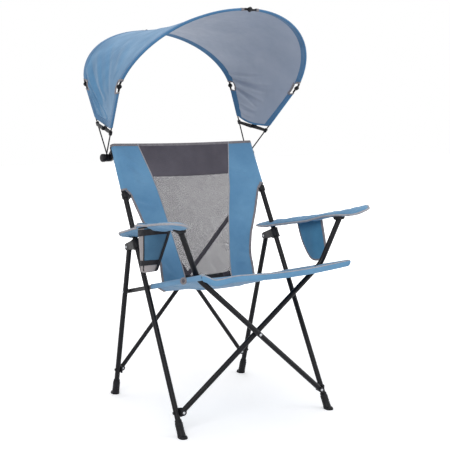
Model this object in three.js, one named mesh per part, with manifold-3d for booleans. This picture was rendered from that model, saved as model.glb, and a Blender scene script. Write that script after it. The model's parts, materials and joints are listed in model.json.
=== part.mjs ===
// A folding camping chair with a tilting sun canopy, in millimetres, +Z up.
// The origin is on the floor under the middle of the chair; -Y is the front, and +X is the sitter's left.
// Each side has a long back tube that is also the front leg, and a rear leg pinned to a hub on that tube.
// Two pairs of crossed braces, front and rear, join the sides, and the cloth hangs between them.
import * as THREE from "three";
import { mergeVertices } from "three/addons/utils/BufferGeometryUtils.js";
import Module from "manifold-3d";

const wasm = await Module();
wasm.setup();

// Clearances and shared counts
const GAP = 0.3;
const OVERRUN = 5;
const SIMPLIFY = 0.02;
const TUBE_SIDES = 12;
const SMALL_SIDES = 10;
const CUP_SIDES = 14;
const BULGE_STEPS = 8;
const CORNER_STEPS = 3;
const FLAT_STEPS = 10;
const WIRE_SIDES = 6;
const RIVET_SIDES = 8;
const ROUND_SIDES = 12;
const MERGE_SHARE = 1e-4;
const ANGLE_SHARE = 1e-3;

// Tubes and wires
const LEG_R = 9.5;
const LEG_WALL = 1;
const REAR_BRACE_R = 8;
const REAR_BRACE_WALL = 0.9;
const RAIL_R = 8;
const RAIL_WALL = 0.9;
const WIRE_R = 2.5;

// Back tube, which runs in one straight line from the front foot to the top of the backrest
const FOOT_X = 304;
const FOOT_Y = -278;
const TOP_X = 294;
const TOP_Y = 262;
const TOP_Z = 950;
const TUBE_START = 10;

// Rear leg, from the pin behind the hub to the rear foot
const PIN_X = 297;
const PIN_ALONG_TUBE = 714.837;
const PIN_BEHIND_TUBE = 59.547;
const REAR_FOOT_X = 285;
const REAR_FOOT_Y = 287;

// Boots on the four feet
const BOOT_LENGTH = 61;
const BOOT_R = 13.5;
const BOOT_MOUTH_R = 12;
const BOOT_STEP = 9;
const TOE_R = 15;
const TOE_REACH = 9;
const TOE_HEIGHT = 9;
const TOE_CHAMFER = 3;

// Front braces: the rivet at each foot, the bend beside the seat and the ball under the armrest
const FRONT_RIVET_Z = 74;
const FRONT_RIVET_IN = 22;
const FRONT_RIVET_FORWARD = 12.5;
const BEND_X = 259;
const BEND_Z = 543;
const BEND_SETBACK = 26;
const BALL_X = 327;
const BALL_Y = -305;
const BALL_Z = 700;
const BALL_R = 8;
const BALL_NECK_R = 4.5;
const BALL_NECK = 16;
const BRACE_GAP = 0.6;

// Rear braces
const REAR_RIVET_Z = 102;
const REAR_RIVET_IN = 23;
const REAR_RIVET_BACK = 8;
const REAR_TOP_Y = 181;
const REAR_TOP_Z = 779;

// Swivelling clevises at the feet, and the rivets
const EAR_WALL = 3;
const EAR_R = 10.5;
const CLEVIS_BASE = 5;
const CLEVIS_HEIGHT = 22;
const CLEVIS_LIP = 1;
const STUD_R = 4;
const RIVET_R = 2.6;
const RIVET_HEAD_R = 5;
const RIVET_HEAD = 2;

// Sliding hub under the armrest
const HUB_LENGTH = 34;
const HUB_R = 15;
const HUB_DROP = 14;
const HUB_EAR_WALL = 3.5;
const HUB_EAR_R = 12.5;

// Seat rails
const RAIL_PIVOT_Z = 419;
const RAIL_TIP_X = 290;
const RAIL_TIP_Y = -398;
const RAIL_TIP_Z = 562;
const RAIL_TAIL = 13;

// Clips that hold the tops of the rear braces
const CLIP_BELOW_SLEEVE = 15;
const CLIP_LENGTH = 20;
const CLIP_R = 13;
const CLIP_PLATE = 4;
const CLIP_WIDTH = 32;
const CLIP_SETBACK = 15;
const CLIP_PLAY = 2;
const CLIP_BAR_SHARE = 0.8;
const CLIP_PLATE_SHARE = 0.9;

// Armrests: a stiff core in a padded sleeve
const ARM_REAR_X = 297;
const ARM_REAR_Y = 197;
const ARM_REAR_Z = 624;
const ARM_TIP_X = 352;
const ARM_TIP_Y = -413;
const ARM_TIP_Z = 737;
const CORE_WIDTH = 56;
const CORE_THICK = 8;
const CORE_END = 46;
const PAD_HALF = 37;
const PAD_THICK = 22;
const PAD_REAR_TAPER = 90;
const PAD_FRONT_TAPER = 105;
const ARM_SLOT_LENGTH = 36;
const ARM_SLOT_WIDTH = 39;
const ARM_SLOT_OUT = 5;
const SOCKET_R = 13;

// Cup holder in the right armrest and pocket under the left one
const CUP_FROM_REAR = 300;
const CUP_R = 42;
const CUP_RIM = 9;
const CUP_FOOT_R = 27;
const CUP_DEPTH = 140;
const CUP_WALL = 2.4;
const CUP_LEAN = 30;
const POCKET_FROM_REAR = 250;
const POCKET_OUT = 6;
const POCKET_LENGTH = 132;
const POCKET_DEPTH = 140;
const POCKET_THICK = 13;
const POCKET_WALL = 2.2;
const POCKET_MOUTH = 26;
const POCKET_MOUTH_SHARE = 0.8;
const POCKET_FRONT_SHARE = 1.08;
const POCKET_FLOOR_SHARE = 0.62;
const POCKET_CORNER_SHARES = [0.2, 0.86];

// Seat cloth
const CLOTH = 1.2;
const SEAT_FRONT_SAG = 14;
const SEAT_SAG = 42;
const SEAT_SLEEVE_REAR_Y = -20;
const SEAT_REAR_Y = 58;
const SEAT_REAR_HALF = 192;
const SEAT_REAR_Z = 428;
const SEAT_NOTCH_R = 15;
const SEAT_NOTCH_IN = 13;
const SEAT_CUT_UP_SHARE = 0.5;
const SEAT_CUT_DOWN_SHARE = 0.2;
const SLEEVE_ROWS = 7;
const TAIL_ROWS = 2;

// Backrest cloth
const BACK_ABOVE_TUBE = 3;
const BACK_SLEEVE = 164;
const BACK_NOTCH_IN = 22;
const NOTCH_SIZE = 90;
const BACK_LOW_Y = 60;
const BACK_LOW_Z = 459;
const BACK_LOW_SAG = 22;
const BACK_SAG = 26;
const BACK_TOP_SAG_SHARE = 0.3;
const BACK_UPPER_ROWS = 3;
const BACK_LOWER_ROWS = 7;

// Canopy hub behind the top of each back tube
const CANOPY_DROP = 27.26;
const CANOPY_BACK = 43.1;
const SPINDLE_R = 5;
const DISC_R = 14;
const DISC_THICK = 9;
const CAP_THICK = 13;
const CAP_R = 15;
const CAP_EDGE_SHARE = 0.7;
const CAP_FACE_SHARE = 0.82;
const BRACKET_X = 301;
const BRACKET_THICK = 9;
const BRACKET_LENGTH = 46;
const BRACKET_R = 14;
const SADDLE_R = 14.8;

// Canopy bows, each in its own plane through the hub axis
const FRONT_BOW_TILT = THREE.MathUtils.degToRad(46.5);
const REAR_BOW_TILT = THREE.MathUtils.degToRad(120);
const FRONT_BOW_HALF = 372;
const FRONT_BOW_KNEE = 357;
const FRONT_BOW_RISE = 358;
const REAR_BOW_HALF = 322;
const REAR_BOW_KNEE = 314;
const REAR_BOW_RISE = 246;
const EYE_R = 9;
const EYE_THICK = 3;
const EYE_REACH = 22;
const EYE_HOLE_R = 2.7;
const EYE_PLAY = 4.2;
const EYE_ROOM = 6;
const SLEEVE_R = 3.3;
const ARC_STEPS = 8;

// Spreader links between the bows
const SPREADER_FRONT = 130;
const SPREADER_REAR = 143;
const LINK_HEIGHT = 10;
const LINK_THICK = 6;
const LINK_CLIP_R = 6.5;
const LINK_CLIP_LENGTH = 14;
const LATCH_LENGTH = 26;
const LATCH_HEIGHT = 6;
const LINK_END_SHARE = 0.7;
const LATCH_THICK_SHARE = 0.8;

// Canopy cloth
const CANOPY_CLOTH = 1;
const CANOPY_OFFSET = 12;
const HEM_REACH = 5;
const CANOPY_HEM_FRONT = 157;
const CANOPY_HEM_REAR = 172;
const CANOPY_SINK = 16;
const CANOPY_FOLD = 3.5;
const CANOPY_FOLDS = 5;
const KNUCKLE_ROOM = 25;
const CANOPY_PULL = 0.6;
const FOLD_SLANTS = [1.2, 0.35];
const CORNER_COLUMNS = 2;
const CANOPY_COLUMNS = 11;
const CANOPY_ROWS = 9;

// Materials
function finish(hex, roughness, metalness = 0) {
  return new THREE.MeshStandardMaterial({ color: hex, roughness, metalness });
}
const FRAME_PAINT = finish(0x24242a, 0.42, 0.25);
const BLACK_PLASTIC = finish(0x1b1b1e, 0.5);
const STEEL = finish(0xb9bcc0, 0.3, 0.9);
const BLUE_CLOTH = finish(0x5f90b8, 0.85);
const CANOPY_BLUE = finish(0x4779a0, 0.8);
const GREY_MESH = finish(0x96939b, 0.9);
const POUCH_CLOTH = finish(0x35607f, 0.88);

// Small vector helpers
const X_AXIS = new THREE.Vector3(1, 0, 0);
function vec(x, y, z) {
  return new THREE.Vector3(x, y, z);
}
function between(a, b, share) {
  return a.clone().lerp(b, share);
}
function unit(from, to) {
  return to.clone().sub(from).normalize();
}
function shifted(point, direction, distance) {
  return point.clone().addScaledVector(direction, distance);
}
// A frame whose Z runs along the given direction and whose X stays close to the hint.
function frameAt(origin, direction, hint = X_AXIS) {
  const z = direction.clone().normalize();
  const parallel = z.clone().cross(hint).length() < ANGLE_SHARE;
  const y = z.clone().cross(parallel ? vec(0, 1, 0) : hint).normalize();
  const x = y.clone().cross(z);
  return new THREE.Matrix4().makeBasis(x, y, z).setPosition(origin);
}
function basis(origin, x, y, z) {
  return new THREE.Matrix4().makeBasis(x, y, z).setPosition(origin);
}

// Solids: three.js geometry in, joined or cut, and three.js geometry out
const MERGE_STEP = LEG_R * MERGE_SHARE;
function solid(geometry, matrix = new THREE.Matrix4()) {
  const source = geometry.index ? geometry.toNonIndexed() : geometry;
  const bare = new THREE.BufferGeometry();
  bare.setAttribute("position", source.getAttribute("position").clone());
  bare.applyMatrix4(matrix);
  const merged = mergeVertices(bare, MERGE_STEP);
  const mesh = new wasm.Mesh({
    numProp: 3,
    vertProperties: merged.attributes.position.array,
    triVerts: new Uint32Array(merged.index.array),
  });
  return new wasm.Manifold(mesh);
}
function geometryOf(made) {
  const { vertProperties, triVerts } = made.simplify(SIMPLIFY).getMesh();
  const geometry = new THREE.BufferGeometry();
  const positions = new Float32Array(vertProperties);
  geometry.setAttribute("position", new THREE.BufferAttribute(positions, 3));
  geometry.setIndex(new THREE.BufferAttribute(new Uint32Array(triVerts), 1));
  geometry.computeVertexNormals();
  return geometry;
}

// Round and flat building shapes
function circlePoints(radius, sides) {
  const points = [];
  for (let i = 0; i < sides; i++) {
    const angle = (2 * Math.PI * i) / sides;
    points.push(new THREE.Vector2(radius * Math.cos(angle), radius * Math.sin(angle)));
  }
  return points;
}
function ringShape(outer, inner, sides) {
  const shape = new THREE.Shape(circlePoints(outer, sides));
  if (inner > 0) {
    shape.holes.push(new THREE.Path(circlePoints(inner, sides)));
  }
  return shape;
}
function extruded(shape, depth) {
  return new THREE.ExtrudeGeometry(shape, { depth, bevelEnabled: false });
}
function rod(from, to, radius, sides = SMALL_SIDES, inner = 0) {
  const shape = ringShape(radius, inner, sides);
  return solid(extruded(shape, from.distanceTo(to)), frameAt(from, unit(from, to)));
}
function block(width, depth, height, matrix) {
  return solid(new THREE.BoxGeometry(width, depth, height), matrix);
}
function sweep(path, radius, sides, steps, inner = 0) {
  const shape = ringShape(radius, inner, sides);
  return solid(new THREE.ExtrudeGeometry(shape, { steps, extrudePath: path }));
}
function roundPlate(radius, from, to, sides, matrix, hole = 0) {
  const shift = new THREE.Matrix4().makeTranslation(0, 0, from);
  return solid(extruded(ringShape(radius, hole, sides), to - from), matrix.clone().multiply(shift));
}
function outline(points) {
  return new THREE.Shape(points.map(([x, y]) => new THREE.Vector2(x, y)));
}

// A plate's outline: a straight base from low to high, and a round end at the given distance
function lug(low, high, length, endHeight, endRadius, base = 0) {
  const points = base > 0 ? [[0, low], [base, low]] : [[0, low]];
  for (let i = 0; i <= SMALL_SIDES; i++) {
    const angle = -Math.PI / 2 + (Math.PI * i) / SMALL_SIDES;
    points.push([length + endRadius * Math.cos(angle), endHeight + endRadius * Math.sin(angle)]);
  }
  if (base > 0) {
    points.push([base, high]);
  }
  points.push([0, high]);
  return outline(points);
}

// A straight line, a rounded corner and a second straight line
class BentLine extends THREE.Curve {
  constructor(start, corner, end, setback) {
    super();
    this.start = start;
    this.end = end;
    this.enter = shifted(corner, unit(corner, start), setback);
    this.leave = shifted(corner, unit(corner, end), setback);
    this.arc = new THREE.QuadraticBezierCurve3(this.enter, corner, this.leave);
  }
  getPoint(t) {
    const station = t * (CORNER_STEPS + 2);
    if (station <= 1) {
      return between(this.start, this.enter, station);
    }
    if (station >= CORNER_STEPS + 1) {
      return between(this.leave, this.end, station - CORNER_STEPS - 1);
    }
    return this.arc.getPoint((station - 1) / CORNER_STEPS);
  }
  getPointAt(share) {
    return this.getPoint(share);
  }
}

// A quarter of an ellipse in the plane of a bow
class BowArc extends THREE.Curve {
  constructor(bow, first, last) {
    super();
    Object.assign(this, { bow, first, last });
  }
  getPoint(t) {
    const angle = this.first + (this.last - this.first) * t;
    const across = this.bow.half * Math.cos(angle);
    const up = this.bow.knee + this.bow.rise * Math.sin(angle);
    return bowPoint(this.bow, across, up);
  }
}

// A cloth sheet with thickness: a grid of points, offset to both sides along its normals
function steps(from, to, count) {
  return Array.from({ length: count }, (_, i) => from + ((to - from) * i) / count);
}
function sheet(pointAt, acrossSteps, alongSteps, thickness) {
  const positions = [];
  const index = [];
  const columns = acrossSteps.length;
  const rows = alongSteps.length;
  const tiny = ANGLE_SHARE;
  for (const side of [1, -1]) {
    for (const v of alongSteps) {
      for (const u of acrossSteps) {
        const point = pointAt(u, v);
        const ahead = pointAt(Math.min(u + tiny, 1), v).sub(pointAt(Math.max(u - tiny, 0), v));
        const aside = pointAt(u, Math.min(v + tiny, 1)).sub(pointAt(u, Math.max(v - tiny, 0)));
        const normal = ahead.cross(aside).normalize();
        point.addScaledVector(normal, (side * thickness) / 2);
        positions.push(point.x, point.y, point.z);
      }
    }
  }
  const at = (i, j, layer) => layer * rows * columns + j * columns + i;
  const quad = (a, b, c, d) => index.push(a, b, c, a, c, d);
  const lastColumn = columns - 1;
  const lastRow = rows - 1;
  for (let j = 0; j < lastRow; j++) {
    for (let i = 0; i < lastColumn; i++) {
      quad(at(i, j, 0), at(i + 1, j, 0), at(i + 1, j + 1, 0), at(i, j + 1, 0));
      quad(at(i, j, 1), at(i, j + 1, 1), at(i + 1, j + 1, 1), at(i + 1, j, 1));
    }
  }
  for (let i = 0; i < lastColumn; i++) {
    quad(at(i, 0, 1), at(i + 1, 0, 1), at(i + 1, 0, 0), at(i, 0, 0));
    quad(at(i, lastRow, 0), at(i + 1, lastRow, 0), at(i + 1, lastRow, 1), at(i, lastRow, 1));
  }
  for (let j = 0; j < lastRow; j++) {
    quad(at(0, j, 0), at(0, j + 1, 0), at(0, j + 1, 1), at(0, j, 1));
    quad(at(lastColumn, j, 1), at(lastColumn, j + 1, 1), at(lastColumn, j + 1, 0), at(lastColumn, j, 0));
  }
  const geometry = new THREE.BufferGeometry();
  geometry.setAttribute("position", new THREE.Float32BufferAttribute(positions, 3));
  geometry.setIndex(index);
  return solid(geometry);
}

// The chair and its two mirrored halves
const chair = new THREE.Group();
const leftSide = new THREE.Group();
const rightSide = new THREE.Group();
rightSide.scale.x = -1;
chair.add(leftSide, rightSide);
function addMesh(parent, name, made, material) {
  const mesh = new THREE.Mesh(geometryOf(made), material);
  mesh.name = name;
  parent.add(mesh);
}
function addPair(name, made, material) {
  addMesh(leftSide, `${name}_left`, made, material);
  addMesh(rightSide, `${name}_right`, made, material);
}

// Main points of the left side
const backTopZ = TOP_Z + BACK_ABOVE_TUBE;
const backNotchZ = backTopZ - BACK_SLEEVE;
const clipZ = backNotchZ - CLIP_BELOW_SLEEVE;
const tubeFoot = vec(FOOT_X, FOOT_Y, 0);
const tubeTop = vec(TOP_X, TOP_Y, TOP_Z);
const tubeUp = unit(tubeFoot, tubeTop);
const tubeRear = tubeUp.clone().cross(X_AXIS).normalize();
const spindle = shifted(shifted(tubeTop, tubeUp, -CANOPY_DROP), tubeRear, CANOPY_BACK);
const canopyHub = spindle.setX(0);
const pinLevel = shifted(tubeFoot, tubeUp, PIN_ALONG_TUBE);
const legPin = shifted(pinLevel, tubeRear, PIN_BEHIND_TUBE).setX(PIN_X);
const rearFoot = vec(REAR_FOOT_X, REAR_FOOT_Y, 0);
const legDown = unit(legPin, rearFoot);
function tubeAt(z) {
  return between(tubeFoot, tubeTop, z / TOP_Z);
}
function legAt(z) {
  return between(rearFoot, legPin, z / legPin.z);
}

// Cuts a tube's end to a half disc about a cross pin
function roundedEnd(made, centre, away, pinAxis, radius) {
  const matrix = frameAt(centre, pinAxis, away);
  const reach = 4 * radius;
  const beyond = block(reach, reach, reach, frameAt(shifted(centre, away, reach / 2), away, pinAxis));
  const disc = roundPlate(radius + GAP / 2, -reach / 2, reach / 2, TUBE_SIDES, matrix);
  return made.subtract(beyond.subtract(disc));
}
function drilled(made, centre, axis, radius, reach) {
  const sides = radius > STUD_R ? SMALL_SIDES : RIVET_SIDES;
  const hole = rod(shifted(centre, axis, -reach), shifted(centre, axis, reach), radius, sides);
  return made.subtract(hole);
}
// A rivet with a head at each end; the shank runs from one depth to the other along the axis
function rivet(centre, axis, from, to) {
  const profile = [
    new THREE.Vector2(0, from - RIVET_HEAD),
    new THREE.Vector2(RIVET_HEAD_R, from - RIVET_HEAD / 2),
    new THREE.Vector2(RIVET_HEAD_R, from),
    new THREE.Vector2(RIVET_R, from),
    new THREE.Vector2(RIVET_R, to),
    new THREE.Vector2(RIVET_HEAD_R, to),
    new THREE.Vector2(RIVET_HEAD_R, to + RIVET_HEAD / 2),
    new THREE.Vector2(0, to + RIVET_HEAD),
  ];
  const lathe = new THREE.LatheGeometry(profile, RIVET_SIDES);
  const upright = new THREE.Matrix4().makeRotationX(Math.PI / 2);
  return solid(lathe, frameAt(centre, axis).multiply(upright));
}

// One half of a rivet: a head outside the brace and a shank that stops short of the other brace
function halfRivet(centre, axis, layer) {
  const outward = axis.clone().multiplyScalar(layer);
  const face = rearShift + REAR_BRACE_R + GAP;
  const top = shifted(centre, outward, face + RIVET_HEAD);
  const shankEnd = shifted(centre, outward, face + RIVET_HEAD / 2);
  const head = rod(shifted(centre, outward, face), top, RIVET_HEAD_R);
  return head.add(rod(shifted(centre, outward, BRACE_GAP), shankEnd, RIVET_R));
}

// Boots: a sleeve along the leg, a stepped mouth and a toe that spreads on the floor
function boot(foot, up, toeSign) {
  const top = shifted(foot, up, BOOT_LENGTH);
  const mouth = shifted(foot, up, BOOT_LENGTH - BOOT_STEP);
  const below = shifted(foot, up, -BOOT_R * 2);
  let made = rod(below, mouth, BOOT_R, TUBE_SIDES).add(rod(foot, top, BOOT_MOUTH_R, TUBE_SIDES));
  const toeProfile = [
    new THREE.Vector2(0, 0),
    new THREE.Vector2(TOE_R - TOE_CHAMFER / 2, 0),
    new THREE.Vector2(TOE_R, TOE_CHAMFER),
    new THREE.Vector2(TOE_R - TOE_CHAMFER, TOE_HEIGHT),
    new THREE.Vector2(0, TOE_HEIGHT + TOE_CHAMFER),
  ];
  const upright = new THREE.Matrix4().makeRotationX(Math.PI / 2);
  const toePlace = new THREE.Matrix4().makeTranslation(foot.x, foot.y + toeSign * TOE_REACH, 0);
  made = made.add(solid(new THREE.LatheGeometry(toeProfile, TUBE_SIDES), toePlace.multiply(upright)));
  const floor = new THREE.Matrix4().makeTranslation(foot.x, foot.y, -BOOT_LENGTH / 2);
  made = made.subtract(block(BOOT_LENGTH * 2, BOOT_LENGTH * 2, BOOT_LENGTH, floor));
  const bore = rod(shifted(foot, up, TUBE_START - GAP), shifted(top, up, OVERRUN), LEG_R + GAP, TUBE_SIDES);
  return made.subtract(bore);
}

// Front and rear brace planes: the rivet at the foot, the in-plane upward direction and the normal
const frontLeg = tubeAt(FRONT_RIVET_Z);
const frontRivet = vec(frontLeg.x - FRONT_RIVET_IN, frontLeg.y - FRONT_RIVET_FORWARD, FRONT_RIVET_Z);
const ball = vec(BALL_X, BALL_Y, BALL_Z);
const frontUp = vec(0, BALL_Y - frontRivet.y, BALL_Z - FRONT_RIVET_Z).normalize();
const frontNormal = X_AXIS.clone().cross(frontUp);
const frontShift = LEG_R + BRACE_GAP;
const rearLeg = legAt(REAR_RIVET_Z);
const rearRivet = vec(rearLeg.x - REAR_RIVET_IN, rearLeg.y + REAR_RIVET_BACK, REAR_RIVET_Z);
const rearTop = vec(rearRivet.x, REAR_TOP_Y, REAR_TOP_Z);
const rearUp = vec(0, REAR_TOP_Y - rearRivet.y, REAR_TOP_Z - REAR_RIVET_Z).normalize();
const rearNormal = X_AXIS.clone().cross(rearUp);
const rearShift = REAR_BRACE_R + BRACE_GAP;
function onFrontPlane(x, z, layer) {
  const share = (z - FRONT_RIVET_Z) / (BALL_Z - FRONT_RIVET_Z);
  const point = vec(x, frontRivet.y + share * (BALL_Y - frontRivet.y), z);
  return shifted(point, frontNormal, layer * frontShift);
}

// The front brace that starts at the right foot runs behind the other one; layer is -1 there and 1 in front
function frontBrace(footSign, layer) {
  const foot = onFrontPlane(footSign * frontRivet.x, FRONT_RIVET_Z, layer);
  const bend = onFrontPlane(-footSign * BEND_X, BEND_Z, layer);
  const centre = onFrontPlane(-footSign * BALL_X, BALL_Z, layer);
  const down = unit(bend, foot);
  const upward = unit(bend, centre);
  const tubeEnd = shifted(centre, upward, -BALL_NECK);
  const start = shifted(foot, down, LEG_R * 2);
  const path = new BentLine(start, bend, tubeEnd, BEND_SETBACK);
  let made = sweep(path, LEG_R, TUBE_SIDES, CORNER_STEPS + 2, LEG_R - LEG_WALL);
  made = roundedEnd(made, foot, down, frontNormal, LEG_R);
  const plugEnd = shifted(tubeEnd, upward, LEG_WALL);
  const plug = rod(shifted(tubeEnd, upward, -LEG_R), plugEnd, LEG_R - LEG_WALL / 2, TUBE_SIDES);
  const neck = rod(tubeEnd, centre, BALL_NECK_R);
  const knob = solid(new THREE.SphereGeometry(BALL_R, SMALL_SIDES, WIRE_SIDES), frameAt(centre, upward));
  made = made.add(plug).add(neck).add(knob);
  made = drilled(made, foot, frontNormal, RIVET_R + GAP, EAR_R * 2);
  return drilled(made, frontCross(layer), frontNormal, RIVET_R + GAP, EAR_R);
}
const frontSpread = frontRivet.x / (frontRivet.x + BEND_X);
function frontCross(layer) {
  return onFrontPlane(0, FRONT_RIVET_Z + frontSpread * (BEND_Z - FRONT_RIVET_Z), layer);
}

// Rear braces are straight; their tops rest beside the clips on the back tubes
function rearBrace(footSign, layer) {
  const lift = layer * rearShift;
  const foot = shifted(vec(footSign * rearRivet.x, rearRivet.y, rearRivet.z), rearNormal, lift);
  const top = shifted(vec(-footSign * rearTop.x, rearTop.y, rearTop.z), rearNormal, lift);
  const up = unit(foot, top);
  const down = up.clone().negate();
  const start = shifted(foot, down, REAR_BRACE_R * 2);
  const end = shifted(top, up, REAR_BRACE_R * 2);
  let made = rod(start, end, REAR_BRACE_R, TUBE_SIDES, REAR_BRACE_R - REAR_BRACE_WALL);
  made = roundedEnd(made, foot, down, rearNormal, REAR_BRACE_R);
  made = roundedEnd(made, top, up, rearNormal, REAR_BRACE_R);
  made = drilled(made, foot, rearNormal, RIVET_R + GAP, EAR_R * 2);
  return drilled(made, between(foot, top, 0.5), rearNormal, RIVET_R + GAP, EAR_R);
}

// A clevis turns on a stud through the leg and holds the brace's end between two ears
function clevis(leg, rivetPoint, planeUp, normal, layerShift, braceR, side) {
  const centre = shifted(vec(side * rivetPoint.x, rivetPoint.y, rivetPoint.z), normal, layerShift);
  const legCentre = vec(side * leg.x, leg.y, leg.z);
  const outward = vec(side, 0, 0);
  const legFace = side * leg.x - side * (LEG_R + 2 * GAP);
  const halfSlot = braceR + GAP;
  const halfWidth = halfSlot + EAR_WALL;
  const inward = outward.clone().negate();
  const baseStart = legFace - (side * CLEVIS_BASE) / 2;
  const length = Math.abs(baseStart - centre.x);
  const arm = lug(-CLEVIS_HEIGHT / 2, CLEVIS_HEIGHT / 2, length, 0, EAR_R);
  const across = inward.clone().cross(planeUp);
  const start = vec(baseStart, centre.y, centre.z);
  const plate = basis(shifted(start, across, -halfWidth), inward, planeUp, across);
  let made = solid(extruded(arm, 2 * halfWidth), plate);
  const bridge = vec(legFace - (side * CLEVIS_BASE) / 2, (centre.y + legCentre.y) / 2, centre.z);
  const span = Math.abs(centre.y - legCentre.y) + CLEVIS_HEIGHT;
  bridge.z = (centre.z + legCentre.z) / 2;
  const bridgePlace = basis(bridge, inward, planeUp, across);
  made = made.add(block(CLEVIS_BASE, CLEVIS_HEIGHT + 2 * CLEVIS_LIP, span, bridgePlace));
  const slotDepth = braceR + GAP * 2;
  const slotPlace = basis(shifted(centre, outward, slotDepth - EAR_R * 2), inward, planeUp, across);
  made = made.subtract(block(EAR_R * 4, EAR_R * 4, 2 * halfSlot, slotPlace));
  const studFrom = vec(legFace - side * GAP, legCentre.y, legCentre.z);
  const studTo = vec(legCentre.x + side * (LEG_R + GAP * 2), legCentre.y, legCentre.z);
  const studEnd = shifted(studTo, outward, RIVET_HEAD);
  const studMiddle = between(studTo, studEnd, 0.5);
  made = made.add(rod(studFrom, studMiddle, STUD_R)).add(rod(studTo, studEnd, RIVET_HEAD_R + GAP));
  return drilled(made, centre, normal, RIVET_R + GAP, halfWidth + OVERRUN);
}
const frontHalf = LEG_R + GAP + EAR_WALL + GAP;
const rearHalf = REAR_BRACE_R + GAP + EAR_WALL + GAP;

// The hub slides on the back tube, and the rear leg is pinned between its ears
const pinStation = legPin.clone().sub(tubeFoot).dot(tubeUp);
const hubCentre = shifted(tubeFoot, tubeUp, pinStation - HUB_DROP);
const pinReach = legPin.clone().sub(hubCentre).dot(tubeRear);
function hub() {
  const low = shifted(hubCentre, tubeUp, -HUB_LENGTH / 2);
  const high = shifted(hubCentre, tubeUp, HUB_LENGTH / 2);
  const halfSlot = LEG_R + GAP * 2;
  const halfWidth = halfSlot + HUB_EAR_WALL;
  const ears = lug(-HUB_LENGTH / 2 + GAP, HUB_LENGTH / 2 - GAP, pinReach, HUB_DROP, HUB_EAR_R);
  const centre = vec(legPin.x, hubCentre.y, hubCentre.z);
  const across = tubeRear.clone().cross(tubeUp);
  const acrossPlace = basis(shifted(centre, X_AXIS, -halfWidth), tubeRear, tubeUp, across);
  let made = solid(extruded(ears, 2 * halfWidth), acrossPlace);
  made = made.add(rod(low, high, HUB_R, TUBE_SIDES));
  const slotStart = pinReach - LEG_R - GAP * 3;
  const slotLength = HUB_EAR_R * 4;
  const slotCentre = shifted(shifted(centre, tubeRear, slotStart + slotLength / 2), tubeUp, HUB_DROP);
  const slotPlace = basis(slotCentre, tubeRear, tubeUp, X_AXIS);
  made = made.subtract(block(slotLength, slotLength, 2 * halfSlot, slotPlace));
  const bore = rod(shifted(low, tubeUp, -OVERRUN), shifted(high, tubeUp, OVERRUN), LEG_R + GAP, TUBE_SIDES);
  made = made.subtract(bore);
  return drilled(made, legPin, X_AXIS, RIVET_R + GAP, halfWidth + OVERRUN);
}

// Back tube and rear leg, drilled for the clevis studs, and the seat rail beside the rear leg
const railPivot = legAt(RAIL_PIVOT_Z);
const railX = railPivot.x - LEG_R - RAIL_R - 2 * GAP;
const railStart = vec(railX, railPivot.y, railPivot.z);
const railTip = vec(RAIL_TIP_X, RAIL_TIP_Y, RAIL_TIP_Z);
const railForward = unit(railStart, railTip);
function backTube() {
  const start = shifted(tubeFoot, tubeUp, TUBE_START);
  const made = rod(start, tubeTop, LEG_R, TUBE_SIDES, LEG_R - LEG_WALL);
  return drilled(made, frontLeg, X_AXIS, STUD_R + GAP, LEG_R * 2);
}
function rearLegTube() {
  const start = shifted(rearFoot, legDown, -TUBE_START);
  const end = shifted(legPin, legDown, -LEG_R * 2);
  let made = rod(start, end, LEG_R, TUBE_SIDES, LEG_R - LEG_WALL);
  made = roundedEnd(made, legPin, legDown.clone().negate(), X_AXIS, LEG_R);
  made = drilled(made, legPin, X_AXIS, RIVET_R + GAP, LEG_R * 2);
  made = drilled(made, railPivot, X_AXIS, RIVET_R + 2 * GAP, LEG_R * 2);
  return drilled(made, rearLeg, X_AXIS, STUD_R + GAP, LEG_R * 2);
}
function seatRail() {
  const tail = shifted(railStart, railForward, -RAIL_TAIL);
  const made = rod(tail, railTip, RAIL_R, TUBE_SIDES, RAIL_R - RAIL_WALL);
  return drilled(made, railStart, X_AXIS, RIVET_R + GAP, RAIL_R * 2);
}

// The clip on the back tube where a rear brace ends
function braceClip() {
  const centre = tubeAt(clipZ);
  const low = shifted(centre, tubeUp, -CLIP_LENGTH / 2);
  const high = shifted(centre, tubeUp, CLIP_LENGTH / 2);
  const plateX = rearTop.x + REAR_BRACE_R + CLIP_PLAY + CLIP_PLATE / 2;
  const reach = centre.x - plateX;
  const barCentre = vec(plateX + reach / 2, centre.y, centre.z);
  const plateCentre = shifted(vec(plateX, centre.y, centre.z), tubeRear, CLIP_SETBACK);
  const bar = block(reach, CLIP_WIDTH / 2, CLIP_LENGTH * CLIP_BAR_SHARE, frameAt(barCentre, tubeUp));
  const plate = block(CLIP_PLATE, CLIP_WIDTH, CLIP_LENGTH * CLIP_PLATE_SHARE, frameAt(plateCentre, tubeUp));
  const made = rod(low, high, CLIP_R, TUBE_SIDES).add(bar).add(plate);
  const bore = rod(shifted(low, tubeUp, -OVERRUN), shifted(high, tubeUp, OVERRUN), LEG_R + GAP, TUBE_SIDES);
  return made.subtract(bore);
}

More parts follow.
